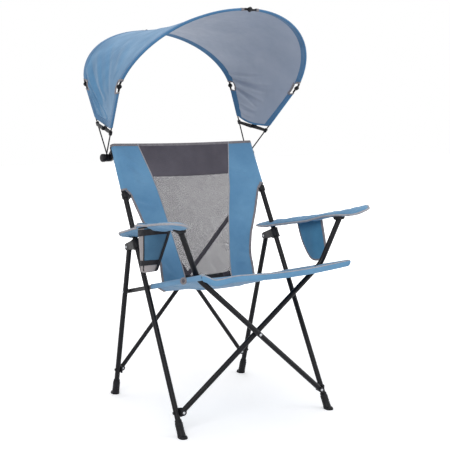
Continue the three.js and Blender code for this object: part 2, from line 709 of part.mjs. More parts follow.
// Armrest frame: Z along the arm from rear to tip, X to the side and Y up out of the pad
const armRear = vec(ARM_REAR_X, ARM_REAR_Y, ARM_REAR_Z);
const armTip = vec(ARM_TIP_X, ARM_TIP_Y, ARM_TIP_Z);
const armLength = armRear.distanceTo(armTip);
const armForward = unit(armRear, armTip);
const armUp = vec(0, -armForward.z, armForward.y).negate().normalize();
const armSide = armUp.clone().cross(armForward).normalize();
const armPlace = basis(armRear, armSide, armUp, armForward);
const toArm = armPlace.clone().invert();
const tubeCrossing = (() => {
  const share = armRear.clone().sub(tubeFoot).dot(armUp) / tubeUp.dot(armUp);
  return shifted(tubeFoot, tubeUp, share).applyMatrix4(toArm);
})();
function ballInArm(layer) {
  return onFrontPlane(BALL_X, BALL_Z, layer).applyMatrix4(toArm);
}
const cupAlong = CUP_FROM_REAR;

// Plan of the pad, pointed at both ends, and with room for the cup on one side
const END_SHARES = [[0, 0], [0.5, 0.35], [0.82, 0.68], [1, 1]];
function mirroredPlan(edge) {
  const inner = edge.filter(([x]) => x > 0);
  return outline([...edge, ...inner.reverse().map(([x, y]) => [-x, y])]);
}
function bulgeEdge(half, radius) {
  const edge = [];
  for (let i = 0; i <= BULGE_STEPS; i++) {
    const angle = -Math.PI / 2 + (Math.PI * i) / BULGE_STEPS;
    const across = radius * Math.cos(angle);
    if (across > half) {
      edge.push([across, cupAlong + radius * Math.sin(angle)]);
    }
  }
  return edge;
}
function padPlan(half, ease, withCup) {
  const rearEdge = END_SHARES.map(([width, along]) => [width * half, ease + along * PAD_REAR_TAPER]);
  const frontEdge = END_SHARES.map(([width, along]) => {
    return [width * half, armLength - ease - along * PAD_FRONT_TAPER];
  });
  const bulge = withCup ? bulgeEdge(half, CUP_R + CUP_RIM + CUP_WALL * 2 - ease) : [];
  return mirroredPlan([...rearEdge, ...bulge, ...frontEdge.reverse()]);
}
function corePlan(grow, withCup) {
  const half = CORE_WIDTH / 2 + grow;
  const bulge = withCup ? bulgeEdge(half, CUP_R + CUP_RIM + grow) : [];
  return mirroredPlan([[half, CORE_END - grow], ...bulge, [half, armLength - CORE_END + grow]]);
}
// Turns a shape drawn as (side, along) into a plate whose thickness runs up out of the pad
function armPlate(shape, low, high) {
  const upright = new THREE.Matrix4().makeBasis(X_AXIS, vec(0, 0, 1), vec(0, -1, 0));
  const shift = new THREE.Matrix4().makeTranslation(0, 0, -high);
  return solid(extruded(shape, high - low), upright.multiply(shift));
}
const PAD_LAYERS = [
  [0.5, 0.09],
  [0.36, 0.035],
  [0.16, 0],
];
function armPad(withCup) {
  let made = null;
  for (const [heightShare, easeShare] of PAD_LAYERS) {
    const half = PAD_HALF * (1 - 2 * easeShare);
    const height = PAD_THICK * heightShare;
    const layer = armPlate(padPlan(half, PAD_HALF * easeShare, withCup), -height, height);
    made = made ? made.add(layer) : layer;
  }
  return made;
}
function tubeSlot(grow) {
  const centre = new THREE.Matrix4().makeTranslation(tubeCrossing.x + ARM_SLOT_OUT, 0, tubeCrossing.z);
  return block(ARM_SLOT_WIDTH + grow, PAD_THICK * 3, ARM_SLOT_LENGTH + grow, centre);
}
function coreBody(grow, withCup) {
  const half = CORE_THICK / 2 + grow;
  return armPlate(corePlan(grow, withCup), -half, half);
}
function cupHole(radius) {
  const place = new THREE.Matrix4().makeTranslation(0, 0, cupAlong);
  place.multiply(new THREE.Matrix4().makeRotationX(Math.PI / 2));
  return roundPlate(radius, -PAD_THICK * 2, PAD_THICK * 2, CUP_SIDES, place);
}
function socketLug(point, grow) {
  return rod(vec(point.x, 0, point.z), point, SOCKET_R + grow, ROUND_SIDES);
}
function armCore(withCup, point) {
  let made = coreBody(0, withCup).add(socketLug(point, 0));
  const centre = new THREE.Matrix4().makeTranslation(point.x, point.y, point.z);
  const hollow = new THREE.SphereGeometry(BALL_R + GAP * 3, ROUND_SIDES, SMALL_SIDES);
  made = made.subtract(solid(hollow, centre)).subtract(tubeSlot(-2 * GAP));
  return withCup ? made.subtract(cupHole(CUP_R + CUP_WALL + GAP * 4)) : made;
}
function armCover(withCup, point) {
  let made = armPad(withCup).subtract(coreBody(GAP, withCup)).subtract(tubeSlot(0));
  made = made.subtract(socketLug(point, GAP));
  return withCup ? made.subtract(cupHole(CUP_R + CUP_WALL + GAP * 4)) : made;
}

// Cup pouch: it hangs through the ring, tapers and leans back a little
function cupHolder() {
  const top = PAD_THICK / 2;
  const flange = CUP_R + CUP_RIM;
  const profile = [
    [0, -CUP_DEPTH],
    [CUP_FOOT_R, -CUP_DEPTH],
    [CUP_R + CUP_WALL, -top],
    [CUP_R + CUP_WALL, top + GAP],
    [flange, top + GAP],
    [flange, top + GAP + CUP_WALL],
    [CUP_R, top + GAP + CUP_WALL],
    [CUP_R, -top],
    [CUP_FOOT_R - CUP_WALL, -CUP_DEPTH + CUP_WALL],
    [0, -CUP_DEPTH + CUP_WALL],
  ].map(([x, y]) => new THREE.Vector2(x, y));
  const pouch = new THREE.LatheGeometry(profile, CUP_SIDES);
  const position = pouch.getAttribute("position");
  for (let i = 0; i < position.count; i++) {
    const share = Math.min(0, (position.getY(i) + top) / (CUP_DEPTH - top));
    position.setZ(i, position.getZ(i) + share * CUP_LEAN);
  }
  return solid(pouch, new THREE.Matrix4().makeTranslation(0, 0, cupAlong));
}

// Pocket under the other armrest: a flat pouch with a round rear corner, open along its outer side
function pocketShape(ease) {
  const shape = new THREE.Shape();
  const length = POCKET_LENGTH - ease;
  const depth = POCKET_DEPTH - ease;
  shape.moveTo(ease, ease);
  shape.lineTo(length, ease);
  shape.lineTo(length * POCKET_FRONT_SHARE, depth);
  shape.lineTo(length * POCKET_FLOOR_SHARE, depth);
  const [cornerAlong, cornerDown] = POCKET_CORNER_SHARES;
  shape.quadraticCurveTo(length * cornerAlong, depth * cornerDown, ease, ease);
  return shape;
}
function armPocket() {
  const half = POCKET_THICK / 2;
  const start = new THREE.Matrix4().makeTranslation(POCKET_OUT, -PAD_THICK / 2 - GAP, POCKET_FROM_REAR);
  const place = start.multiply(basis(vec(-half, 0, 0), vec(0, 0, 1), vec(0, -1, 0), X_AXIS));
  const curve = { depth: POCKET_THICK, bevelEnabled: false, curveSegments: SMALL_SIDES };
  const hollow = { ...curve, depth: POCKET_THICK - 2 * POCKET_WALL };
  const inner = place.clone().multiply(new THREE.Matrix4().makeTranslation(0, 0, POCKET_WALL));
  let made = solid(new THREE.ExtrudeGeometry(pocketShape(0), curve), place);
  made = made.subtract(solid(new THREE.ExtrudeGeometry(pocketShape(POCKET_WALL), hollow), inner));
  const mouth = new THREE.Matrix4().makeTranslation(
    POCKET_OUT + half,
    -PAD_THICK / 2 - POCKET_MOUTH / 2 - POCKET_WALL,
    POCKET_FROM_REAR + POCKET_LENGTH / 2,
  );
  return made.subtract(block(POCKET_WALL * 3, POCKET_MOUTH, POCKET_LENGTH * POCKET_MOUTH_SHARE, mouth));
}

// A section of cloth across the chair: it wraps both tubes and sags between them.
// The wrap starts behind the tube and ends on the side that the cloth leaves from.
const WRAP_SHARE = 0.16;
const WRAP_STEPS = 4;
function wrapRadius(tubeR, wrap) {
  const step = (Math.PI / 2 - wrap) / WRAP_STEPS;
  return (tubeR + GAP + CLOTH / 2) / Math.cos(step / 2);
}
function clothSection(u, centre, radius, sag, out, wrap) {
  const side = u < 0.5 ? 1 : -1;
  const share = Math.min(u, 1 - u);
  const at = vec(side * centre.x, centre.y, centre.z);
  const turned = Math.min(share / WRAP_SHARE, 1);
  const angle = wrap + (Math.PI / 2 - wrap) * turned;
  at.x += side * radius * Math.cos(angle);
  const point = shifted(at, out, radius * Math.sin(angle));
  const inward = Math.max(0, (share - WRAP_SHARE) / (0.5 - WRAP_SHARE));
  point.x *= 1 - inward;
  return shifted(point, out, -sag * Math.sin((inward * Math.PI) / 2));
}
// Steps across the cloth: fine round the tubes and wider between them
function sectionSteps(flatSteps) {
  return [
    ...steps(0, WRAP_SHARE, WRAP_STEPS),
    ...steps(WRAP_SHARE, 1 - WRAP_SHARE, flatSteps),
    ...steps(1 - WRAP_SHARE, 1, WRAP_STEPS),
    1,
  ];
}

// Seat: sleeves on both rails and a sling between them that narrows behind the sleeves
const SEAT_WRAP = THREE.MathUtils.degToRad(-60);
const sleeveR = wrapRadius(RAIL_R, SEAT_WRAP);
const railUp = railForward.clone().cross(X_AXIS).normalize();
function railAt(y) {
  const share = (y - railStart.y) / (railTip.y - railStart.y);
  return between(railStart, railTip, share);
}
const SLEEVE_SHARE = 0.84;
function seatPoint(u, v) {
  const along = Math.min(v / SLEEVE_SHARE, 1);
  const centre = railAt(THREE.MathUtils.lerp(RAIL_TIP_Y, SEAT_SLEEVE_REAR_Y, along));
  const sag = SEAT_FRONT_SAG + (SEAT_SAG - SEAT_FRONT_SAG) * Math.sin((along * Math.PI) / 2);
  const point = clothSection(u, centre, sleeveR, sag, railUp, SEAT_WRAP);
  if (v <= SLEEVE_SHARE) {
    return point;
  }
  const across = (1 - 2 * u) * SEAT_REAR_HALF;
  const end = vec(across, SEAT_REAR_Y, SEAT_REAR_Z);
  return between(point, end, (v - SLEEVE_SHARE) / (1 - SLEEVE_SHARE));
}
function seat() {
  const rows = [...steps(0, SLEEVE_SHARE, SLEEVE_ROWS), ...steps(SLEEVE_SHARE, 1, TAIL_ROWS), 1];
  let made = sheet(seatPoint, sectionSteps(FLAT_STEPS), rows, CLOTH);
  const railCut = railAt(SEAT_SLEEVE_REAR_Y);
  const cutCentre = shifted(railCut, railForward, -NOTCH_SIZE / 2);
  cutCentre.setX(railCut.x - SEAT_NOTCH_IN + NOTCH_SIZE / 2);
  const railNotch = block(NOTCH_SIZE, NOTCH_SIZE, NOTCH_SIZE, frameAt(cutCentre, railForward));
  made = made.subtract(railNotch).subtract(railNotch.scale([-1, 1, 1]));
  for (const [side, layer] of [[1, -1], [-1, 1]]) {
    const bend = onFrontPlane(side * BEND_X, BEND_Z, layer);
    const above = onFrontPlane(side * BALL_X, BALL_Z, layer);
    const below = onFrontPlane(-side * frontRivet.x, FRONT_RIVET_Z, layer);
    const upper = rod(bend, between(bend, above, SEAT_CUT_UP_SHARE), SEAT_NOTCH_R);
    const lower = rod(bend, between(bend, below, SEAT_CUT_DOWN_SHARE), SEAT_NOTCH_R);
    const round = new THREE.SphereGeometry(SEAT_NOTCH_R, SMALL_SIDES, WIRE_SIDES);
    made = made.subtract(upper).subtract(lower).subtract(solid(round, frameAt(bend, frontUp)));
  }
  return made;
}

// Backrest: wrapped round the tubes down to the clips, then drawn in towards the seat
const BACK_WRAP = THREE.MathUtils.degToRad(-70);
const backR = wrapRadius(LEG_R, BACK_WRAP);
const tubeFront = tubeRear.clone().negate();
const UPPER_SHARE = 0.36;
const SETTLE_SHARE = 0.1;
const EDGE_SHARES = [1, 0.93, 0.84, 0.76, 0.69, 0.66, 0.665];
function edgeShare(t) {
  const place = t * (EDGE_SHARES.length - 1);
  const low = Math.min(Math.floor(place), EDGE_SHARES.length - 2);
  return THREE.MathUtils.lerp(EDGE_SHARES[low], EDGE_SHARES[low + 1], place - low);
}
function backPoint(u, v) {
  const upper = Math.min(v / UPPER_SHARE, 1);
  const centre = tubeAt(THREE.MathUtils.lerp(backTopZ, backNotchZ, upper));
  const sag = BACK_SAG * (BACK_TOP_SAG_SHARE + (1 - BACK_TOP_SAG_SHARE) * upper);
  const point = clothSection(u, centre, backR, sag, tubeFront, BACK_WRAP);
  if (v <= UPPER_SHARE) {
    return point;
  }
  const t = (v - UPPER_SHARE) / (1 - UPPER_SHARE);
  const across = (1 - 2 * u) * (centre.x + backR);
  const hang = 1 - (2 * u - 1) ** 2;
  const start = shifted(centre, tubeFront, backR - sag * hang);
  const flat = vec(across * edgeShare(t), 0, 0);
  flat.y = THREE.MathUtils.lerp(start.y, BACK_LOW_Y, t);
  flat.z = THREE.MathUtils.lerp(start.z, BACK_LOW_Z - hang * BACK_LOW_SAG, t);
  return between(point, flat, Math.min(t / SETTLE_SHARE, 1));
}
function backrest() {
  const below = UPPER_SHARE + (1 - UPPER_SHARE) * SETTLE_SHARE;
  const upperRows = steps(0, UPPER_SHARE, BACK_UPPER_ROWS);
  const rows = [...upperRows, UPPER_SHARE, ...steps(below, 1, BACK_LOWER_ROWS), 1];
  const notchStart = tubeAt(backNotchZ + OVERRUN);
  const notchCentre = shifted(notchStart, tubeUp, -NOTCH_SIZE / 2);
  notchCentre.setX(TOP_X - BACK_NOTCH_IN + NOTCH_SIZE / 2);
  const notch = block(NOTCH_SIZE, NOTCH_SIZE, NOTCH_SIZE, frameAt(notchCentre, tubeUp));
  const away = notch.add(saddle(GAP));
  const made = sheet(backPoint, sectionSteps(FLAT_STEPS), rows, CLOTH).subtract(away);
  return made.subtract(away.scale([-1, 1, 1]));
}

// Canopy bows: a point across and up in a bow's plane, shifted by a layer along its normal
function makeBow(tilt, half, knee, rise) {
  const up = vec(0, -Math.cos(tilt), Math.sin(tilt));
  return { up, normal: X_AXIS.clone().cross(up), half, knee, rise };
}
const frontBow = makeBow(FRONT_BOW_TILT, FRONT_BOW_HALF, FRONT_BOW_KNEE, FRONT_BOW_RISE);
const rearBow = makeBow(REAR_BOW_TILT, REAR_BOW_HALF, REAR_BOW_KNEE, REAR_BOW_RISE);
function bowPoint(bow, across, up, ahead = 0) {
  const point = shifted(canopyHub, bow.up, up);
  point.x = across;
  return shifted(point, bow.normal, ahead);
}
const rearDiscX = BRACKET_X + GAP;
const frontDiscX = rearDiscX + DISC_THICK + GAP;
const capX = frontDiscX + DISC_THICK + GAP;

// A flat eye in one layer of a bow's plane: a round end on the pin and a tail along its wire
function eye(bow, across, up, direction, layer) {
  const place = basis(bowPoint(bow, across, up), direction, bow.normal.clone().cross(direction), bow.normal);
  const plan = lug(-SLEEVE_R, SLEEVE_R, 0, 0, EYE_R);
  const points = plan.getPoints().map((point) => [point.x === 0 ? EYE_REACH : -point.x, -point.y]);
  const start = layer > 0 ? GAP / 2 : -GAP / 2 - EYE_THICK;
  place.multiply(new THREE.Matrix4().makeTranslation(0, 0, start));
  return solid(extruded(outline(points), EYE_THICK), place);
}
// The pin of an eye: it passes the other eye's hole and ends in a head
function eyePin(centre, axis, headR) {
  const headAt = EYE_THICK + GAP * 2;
  const start = shifted(centre, axis, -EYE_THICK / 2);
  const middle = shifted(centre, axis, headAt + RIVET_HEAD / 2);
  const pin = rod(start, middle, RIVET_R - GAP, RIVET_SIDES);
  const head = rod(shifted(centre, axis, headAt), shifted(centre, axis, headAt + RIVET_HEAD), headR);
  return pin.add(head);
}

// A strut: its disc on the spindle, the wire, and the eye with the pin for the arc
function strut(bow, discX, side) {
  const layer = -side;
  const discPlace = frameAt(canopyHub, vec(side, 0, 0), vec(0, 1, 0));
  const hubEnd = bowPoint(bow, side * (discX + DISC_THICK / 2), DISC_R - OVERRUN);
  const knee = bowPoint(bow, side * bow.half, bow.knee);
  const along = unit(hubEnd, knee);
  const wireEnd = shifted(knee, along, -EYE_R - 2 * GAP);
  let made = roundPlate(DISC_R, discX, discX + DISC_THICK, ROUND_SIDES, discPlace);
  made = made.add(rod(hubEnd, wireEnd, WIRE_R, WIRE_SIDES));
  made = made.add(eye(bow, side * bow.half, bow.knee, along.clone().negate(), layer));
  made = made.add(eyePin(knee, bow.normal.clone().multiplyScalar(-layer), RIVET_HEAD_R));
  return made.subtract(roundPlate(SPINDLE_R + GAP, discX - OVERRUN, capX + OVERRUN, SMALL_SIDES, discPlace));
}

// An arc: an eye on the strut's pin, a quarter of the bow and an eye at the top joint
function arc(bow, side) {
  const layer = side;
  const first = Math.asin((EYE_R + 2 * GAP) / bow.rise);
  const last = Math.PI / 2 - (EYE_R + EYE_ROOM) / bow.half;
  const path = new BowArc({ ...bow, half: side * bow.half }, first, last);
  let made = sweep(path, WIRE_R, WIRE_SIDES, ARC_STEPS);
  made = made.add(eye(bow, side * bow.half, bow.knee, bow.up, layer));
  made = made.add(eye(bow, 0, bow.knee + bow.rise, vec(side, 0, 0), layer));
  made = drilled(made, bowPoint(bow, side * bow.half, bow.knee), bow.normal, EYE_HOLE_R, EYE_THICK * 3);
  const top = bowPoint(bow, 0, bow.knee + bow.rise);
  if (side < 0) {
    return drilled(made, top, bow.normal, RIVET_R - GAP + EYE_PLAY, EYE_THICK * 3);
  }
  return made.add(eyePin(top, bow.normal.clone().negate(), EYE_R - GAP));
}

// Bracket on the back tube that carries the spindle; its saddle holds the rear half of the tube
const saddleCentre = shifted(tubeTop, tubeUp, -CANOPY_DROP);
function saddle(grow) {
  const half = BRACKET_LENGTH / 2 + grow;
  const low = shifted(saddleCentre, tubeUp, -half);
  const high = shifted(saddleCentre, tubeUp, half);
  const collar = rod(low, high, SADDLE_R + grow, TUBE_SIDES);
  const front = shifted(saddleCentre, tubeRear, -BRACKET_LENGTH - grow);
  const size = BRACKET_LENGTH * 2;
  return collar.subtract(block(size, size, size, frameAt(front, tubeUp)));
}
function canopyBracket() {
  const web = lug(-BRACKET_LENGTH / 2 + GAP, BRACKET_LENGTH / 2 - GAP, CANOPY_BACK, 0, BRACKET_R);
  const start = vec(BRACKET_X - BRACKET_THICK, saddleCentre.y, saddleCentre.z);
  const across = tubeRear.clone().cross(bracketUp);
  const place = basis(start, tubeRear, bracketUp, across);
  let made = saddle(0).add(solid(extruded(web, BRACKET_THICK), place));
  const hubPoint = vec(BRACKET_X - BRACKET_THICK / 2, canopyHub.y, canopyHub.z);
  made = made.add(rod(hubPoint, vec(capX + CAP_THICK / 2, canopyHub.y, canopyHub.z), SPINDLE_R, SMALL_SIDES));
  const low = shifted(saddleCentre, tubeUp, -BRACKET_LENGTH);
  const high = shifted(saddleCentre, tubeUp, BRACKET_LENGTH);
  return made.subtract(rod(low, high, LEG_R + GAP, TUBE_SIDES));
}
const bracketUp = X_AXIS.clone().cross(tubeRear);
function hubCap() {
  const profile = [
    [0, 0],
    [CAP_R, 0],
    [CAP_R, CAP_THICK * CAP_EDGE_SHARE],
    [CAP_R * CAP_FACE_SHARE, CAP_THICK],
    [0, CAP_THICK],
  ].map(([x, y]) => new THREE.Vector2(x, y));
  const upright = new THREE.Matrix4().makeRotationX(Math.PI / 2);
  const place = frameAt(vec(capX, canopyHub.y, canopyHub.z), X_AXIS, vec(0, 1, 0)).multiply(upright);
  const made = solid(new THREE.LatheGeometry(profile, ROUND_SIDES), place);
  const bottom = vec(capX - OVERRUN, canopyHub.y, canopyHub.z);
  const depth = vec(capX + CAP_THICK / 2 + GAP, canopyHub.y, canopyHub.z);
  return made.subtract(rod(bottom, depth, SPINDLE_R + GAP, SMALL_SIDES));
}

// Spreader: two links clipped on the struts that meet at an elbow with a latch
function strutPoint(bow, discX, up, side) {
  const hubEnd = bowPoint(bow, side * (discX + DISC_THICK / 2), DISC_R - OVERRUN);
  const knee = bowPoint(bow, side * bow.half, bow.knee);
  const share = (up - DISC_R + OVERRUN) / (bow.knee - DISC_R + OVERRUN);
  return { point: between(hubEnd, knee, share), along: unit(hubEnd, knee) };
}
function spreaderLink(isFront, side) {
  const front = strutPoint(frontBow, frontDiscX, SPREADER_FRONT, side);
  const rear = strutPoint(rearBow, rearDiscX, SPREADER_REAR, side);
  const own = isFront ? front : rear;
  const elbow = between(front.point, rear.point, 0.5);
  const span = unit(front.point, rear.point);
  const normal = span.clone().cross(vec(0, 0, 1)).normalize();
  const layer = isFront ? 1 : -1;
  const offset = (layer * (LINK_THICK + GAP)) / 2;
  const inner = shifted(own.point, normal, offset);
  const middle = shifted(elbow, normal, offset);
  const back = unit(middle, inner);
  const rise = back.clone().cross(normal).normalize();
  const rest = vec(0, 0, 1).dot(rise) < 0 ? rise.negate() : rise;
  const flat = back.clone().cross(rest);
  const reach = middle.distanceTo(inner);
  const plan = lug(-LINK_HEIGHT / 2, LINK_HEIGHT / 2, reach, 0, LINK_HEIGHT * LINK_END_SHARE);
  const forth = back.clone().negate();
  const across = forth.clone().cross(rest);
  const corner = shifted(inner, across, -LINK_THICK / 2);
  let made = solid(extruded(plan, LINK_THICK), basis(corner, forth, rest, across));
  const clipLow = shifted(own.point, own.along, -LINK_CLIP_LENGTH / 2);
  const clipHigh = shifted(own.point, own.along, LINK_CLIP_LENGTH / 2);
  made = made.add(rod(clipLow, clipHigh, LINK_CLIP_R, SMALL_SIDES));
  if (isFront) {
    const latch = shifted(shifted(middle, rest, LINK_HEIGHT * LINK_END_SHARE), back, LATCH_LENGTH / 3);
    const latchPlace = basis(latch, back, rest, flat);
    made = made.add(block(LATCH_LENGTH, LATCH_HEIGHT, LINK_THICK * LATCH_THICK_SHARE, latchPlace));
    const pinEnd = shifted(elbow, normal, -LINK_THICK - 2 * GAP);
    made = made.add(rod(middle, shifted(pinEnd, normal, -RIVET_HEAD / 2), RIVET_R, RIVET_SIDES));
    made = made.add(rod(pinEnd, shifted(pinEnd, normal, -RIVET_HEAD), RIVET_HEAD_R, RIVET_SIDES));
  } else {
    made = drilled(made, elbow, normal, RIVET_R + GAP, LINK_THICK * 2);
  }
  const boreLow = shifted(own.point, own.along, -LINK_CLIP_LENGTH);
  const boreHigh = shifted(own.point, own.along, LINK_CLIP_LENGTH);
  return made.subtract(rod(boreLow, boreHigh, WIRE_R + GAP, WIRE_SIDES));
}

// Canopy cloth: it runs over both bows from one lower corner over the top to the other
const STRUT_SHARE = 0.16;
function hemPoint(bow, hemStart, u, ahead) {
  const side = u < 0.5 ? 1 : -1;
  const share = u < 0.5 ? u : 1 - u;
  if (share < STRUT_SHARE) {
    const up = THREE.MathUtils.lerp(hemStart, bow.knee, share / STRUT_SHARE);
    const discX = bow === frontBow ? frontDiscX : rearDiscX;
    const x = THREE.MathUtils.lerp(discX + DISC_THICK / 2, bow.half, up / bow.knee);
    return bowPoint(bow, side * (x + CANOPY_OFFSET), up, ahead);
  }
  const angle = ((share - STRUT_SHARE) / (0.5 - STRUT_SHARE)) * (Math.PI / 2);
  const across = (bow.half + CANOPY_OFFSET) * Math.cos(angle);
  return bowPoint(bow, side * across, bow.knee + (bow.rise + CANOPY_OFFSET) * Math.sin(angle), ahead);
}
function canopyPoint(u, v) {
  const front = hemPoint(frontBow, CANOPY_HEM_FRONT, u, HEM_REACH);
  const rear = hemPoint(rearBow, CANOPY_HEM_REAR, u, -HEM_REACH);
  const point = between(front, rear, v);
  const middle = Math.sin(Math.PI * v);
  const inward = canopyHub.clone().sub(point).setX(-point.x * CANOPY_PULL).normalize();
  const [slantAcross, slantAlong] = FOLD_SLANTS;
  const folds = Math.sin(2 * Math.PI * CANOPY_FOLDS * (u * slantAcross + v * slantAlong));
  const nearSide = Math.abs(2 * u - 1);
  const ripple = CANOPY_FOLD * nearSide * folds * middle;
  return shifted(point, inward, CANOPY_SINK * middle + ripple);
}
function canopySteps() {
  const corner = steps(0, STRUT_SHARE, CORNER_COLUMNS);
  const half = [...corner, ...steps(STRUT_SHARE, 0.5, CANOPY_COLUMNS)];
  return [...half, 0.5, ...half.map((u) => 1 - u).reverse()];
}
function canopyCloth() {
  let made = sheet(canopyPoint, canopySteps(), [...steps(0, 1, CANOPY_ROWS), 1], CANOPY_CLOTH);
  for (const bow of [frontBow, rearBow]) {
    const tops = [[bow.half, bow.knee], [-bow.half, bow.knee], [0, bow.knee + bow.rise]];
    for (const [across, up] of tops) {
      const centre = bowPoint(bow, across, up);
      const height = KNUCKLE_ROOM * 2;
      const room = new THREE.CylinderGeometry(KNUCKLE_ROOM, KNUCKLE_ROOM, height, SMALL_SIDES);
      const turn = new THREE.Matrix4().makeRotationX(Math.PI / 2);
      made = made.subtract(solid(room, frameAt(centre, bow.normal).multiply(turn)));
    }
  }
  return made;
}

// Assembly: frame
addPair("back_tube", backTube(), FRAME_PAINT);
addPair("rear_leg", rearLegTube(), FRAME_PAINT);
addPair("front_boot", boot(tubeFoot, tubeUp, -1), BLACK_PLASTIC);
addPair("rear_boot", boot(rearFoot, legDown.clone().negate(), 1), BLACK_PLASTIC);
addPair("hub", hub(), BLACK_PLASTIC);
const pinHalf = LEG_R + GAP * 3 + HUB_EAR_WALL;
addPair("hub_pin", rivet(legPin, X_AXIS, -pinHalf, pinHalf), STEEL);
addPair("seat_rail", seatRail(), FRAME_PAINT);
const railRivetIn = -(LEG_R + 2 * RAIL_R + 3 * GAP);
addPair("rail_rivet", rivet(railPivot, X_AXIS, railRivetIn, LEG_R + GAP), STEEL);
addPair("brace_clip", braceClip(), BLACK_PLASTIC);

// Assembly: crossed braces, with the brace from the right foot behind and the other one in front
for (const [side, layer, name] of [[-1, -1, "right"], [1, 1, "left"]]) {
  const frontPoint = vec(side * frontRivet.x, frontRivet.y, frontRivet.z);
  const frontCentre = shifted(frontPoint, frontNormal, layer * frontShift);
  const rearPoint = vec(side * rearRivet.x, rearRivet.y, rearRivet.z);
  const rearCentre = shifted(rearPoint, rearNormal, layer * rearShift);
  addMesh(chair, `front_brace_${name}`, frontBrace(side, layer), FRAME_PAINT);
  addMesh(chair, `rear_brace_${name}`, rearBrace(side, layer), FRAME_PAINT);
  const frontClevis = clevis(frontLeg, frontRivet, frontUp, frontNormal, layer * frontShift, LEG_R, side);
  const rearClevis = clevis(rearLeg, rearRivet, rearUp, rearNormal, layer * rearShift, REAR_BRACE_R, side);
  addMesh(chair, `front_clevis_${name}`, frontClevis, BLACK_PLASTIC);
  addMesh(chair, `rear_clevis_${name}`, rearClevis, BLACK_PLASTIC);
  addMesh(chair, `front_rivet_${name}`, rivet(frontCentre, frontNormal, -frontHalf, frontHalf), STEEL);
  addMesh(chair, `rear_rivet_${name}`, rivet(rearCentre, rearNormal, -rearHalf, rearHalf), STEEL);
}
const crossHalf = frontShift + LEG_R + GAP;
addMesh(chair, "front_cross_rivet", rivet(frontCross(0), frontNormal, -crossHalf, crossHalf), STEEL);
// The rear crossing is left open, so each brace carries its own half of that rivet
const rearCross = vec(0, (rearRivet.y + rearTop.y) / 2, (rearRivet.z + rearTop.z) / 2);
addMesh(chair, "rear_cross_rivet_right", halfRivet(rearCross, rearNormal, -1), STEEL);
addMesh(chair, "rear_cross_rivet_left", halfRivet(rearCross, rearNormal, 1), STEEL);

// Assembly: armrests, with the cup holder on the right and the pocket on the left
for (const [parent, name, layer] of [[leftSide, "left", -1], [rightSide, "right", 1]]) {
  const withCup = layer > 0;
  const point = ballInArm(layer);
  const arm = new THREE.Group();
  arm.applyMatrix4(armPlace);
  parent.add(arm);
  addMesh(arm, `arm_core_${name}`, armCore(withCup, point), BLACK_PLASTIC);
  addMesh(arm, `arm_cover_${name}`, armCover(withCup, point), BLUE_CLOTH);
  if (withCup) {
    addMesh(arm, "cup_holder", cupHolder(), POUCH_CLOTH);
  } else {
    addMesh(arm, "arm_pocket", armPocket(), POUCH_CLOTH);
  }
}

// Assembly: cloth
addMesh(chair, "seat_sling", seat(), BLUE_CLOTH);
addMesh(chair, "backrest", backrest(), GREY_MESH);

// Assembly: canopy
addPair("canopy_bracket", canopyBracket(), BLACK_PLASTIC);
addPair("hub_cap", hubCap(), BLACK_PLASTIC);
for (const [side, name] of [[1, "left"], [-1, "right"]]) {
  addMesh(chair, `front_strut_${name}`, strut(frontBow, frontDiscX, side), FRAME_PAINT);
  addMesh(chair, `rear_strut_${name}`, strut(rearBow, rearDiscX, side), FRAME_PAINT);
  addMesh(chair, `front_arc_${name}`, arc(frontBow, side), FRAME_PAINT);
  addMesh(chair, `rear_arc_${name}`, arc(rearBow, side), FRAME_PAINT);
  addMesh(chair, `front_link_${name}`, spreaderLink(true, side), BLACK_PLASTIC);
  addMesh(chair, `rear_link_${name}`, spreaderLink(false, side), BLACK_PLASTIC);
}
addMesh(chair, "canopy_cloth", canopyCloth(), CANOPY_BLUE);

// The lengths above are measured from between the feet; the whole chair's own middle, canopy included,
// lies further back, and the origin goes there
const reach = new THREE.Box3().setFromObject(chair, true);
chair.position.y = -(reach.min.y + reach.max.y) / 2;

export default chair;
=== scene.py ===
import json
import math

import bpy
import numpy as np
from mathutils import Matrix, Vector


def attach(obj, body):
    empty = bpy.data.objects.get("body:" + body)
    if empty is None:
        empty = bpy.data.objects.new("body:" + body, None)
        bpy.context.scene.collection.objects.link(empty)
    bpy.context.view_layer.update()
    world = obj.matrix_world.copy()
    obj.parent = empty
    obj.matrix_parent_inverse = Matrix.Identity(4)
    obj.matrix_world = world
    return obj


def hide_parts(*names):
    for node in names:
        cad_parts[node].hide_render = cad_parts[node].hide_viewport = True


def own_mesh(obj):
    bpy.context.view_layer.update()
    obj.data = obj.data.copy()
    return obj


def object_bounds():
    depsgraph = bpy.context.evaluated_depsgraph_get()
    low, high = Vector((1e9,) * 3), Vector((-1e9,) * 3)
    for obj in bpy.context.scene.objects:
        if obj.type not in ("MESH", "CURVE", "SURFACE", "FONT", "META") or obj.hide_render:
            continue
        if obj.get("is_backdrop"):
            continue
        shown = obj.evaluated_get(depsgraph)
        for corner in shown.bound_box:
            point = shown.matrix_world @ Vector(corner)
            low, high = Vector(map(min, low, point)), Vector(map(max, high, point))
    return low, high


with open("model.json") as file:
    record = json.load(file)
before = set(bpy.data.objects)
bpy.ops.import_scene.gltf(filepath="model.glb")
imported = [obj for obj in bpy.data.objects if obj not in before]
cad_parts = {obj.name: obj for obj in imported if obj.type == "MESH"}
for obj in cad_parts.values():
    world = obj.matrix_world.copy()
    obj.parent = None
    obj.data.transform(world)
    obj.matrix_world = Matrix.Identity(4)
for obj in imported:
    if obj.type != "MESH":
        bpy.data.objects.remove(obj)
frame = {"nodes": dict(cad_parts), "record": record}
cad_low, cad_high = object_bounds()

MM = 0.001
SIDES = ((1, "left"), (-1, "right"))
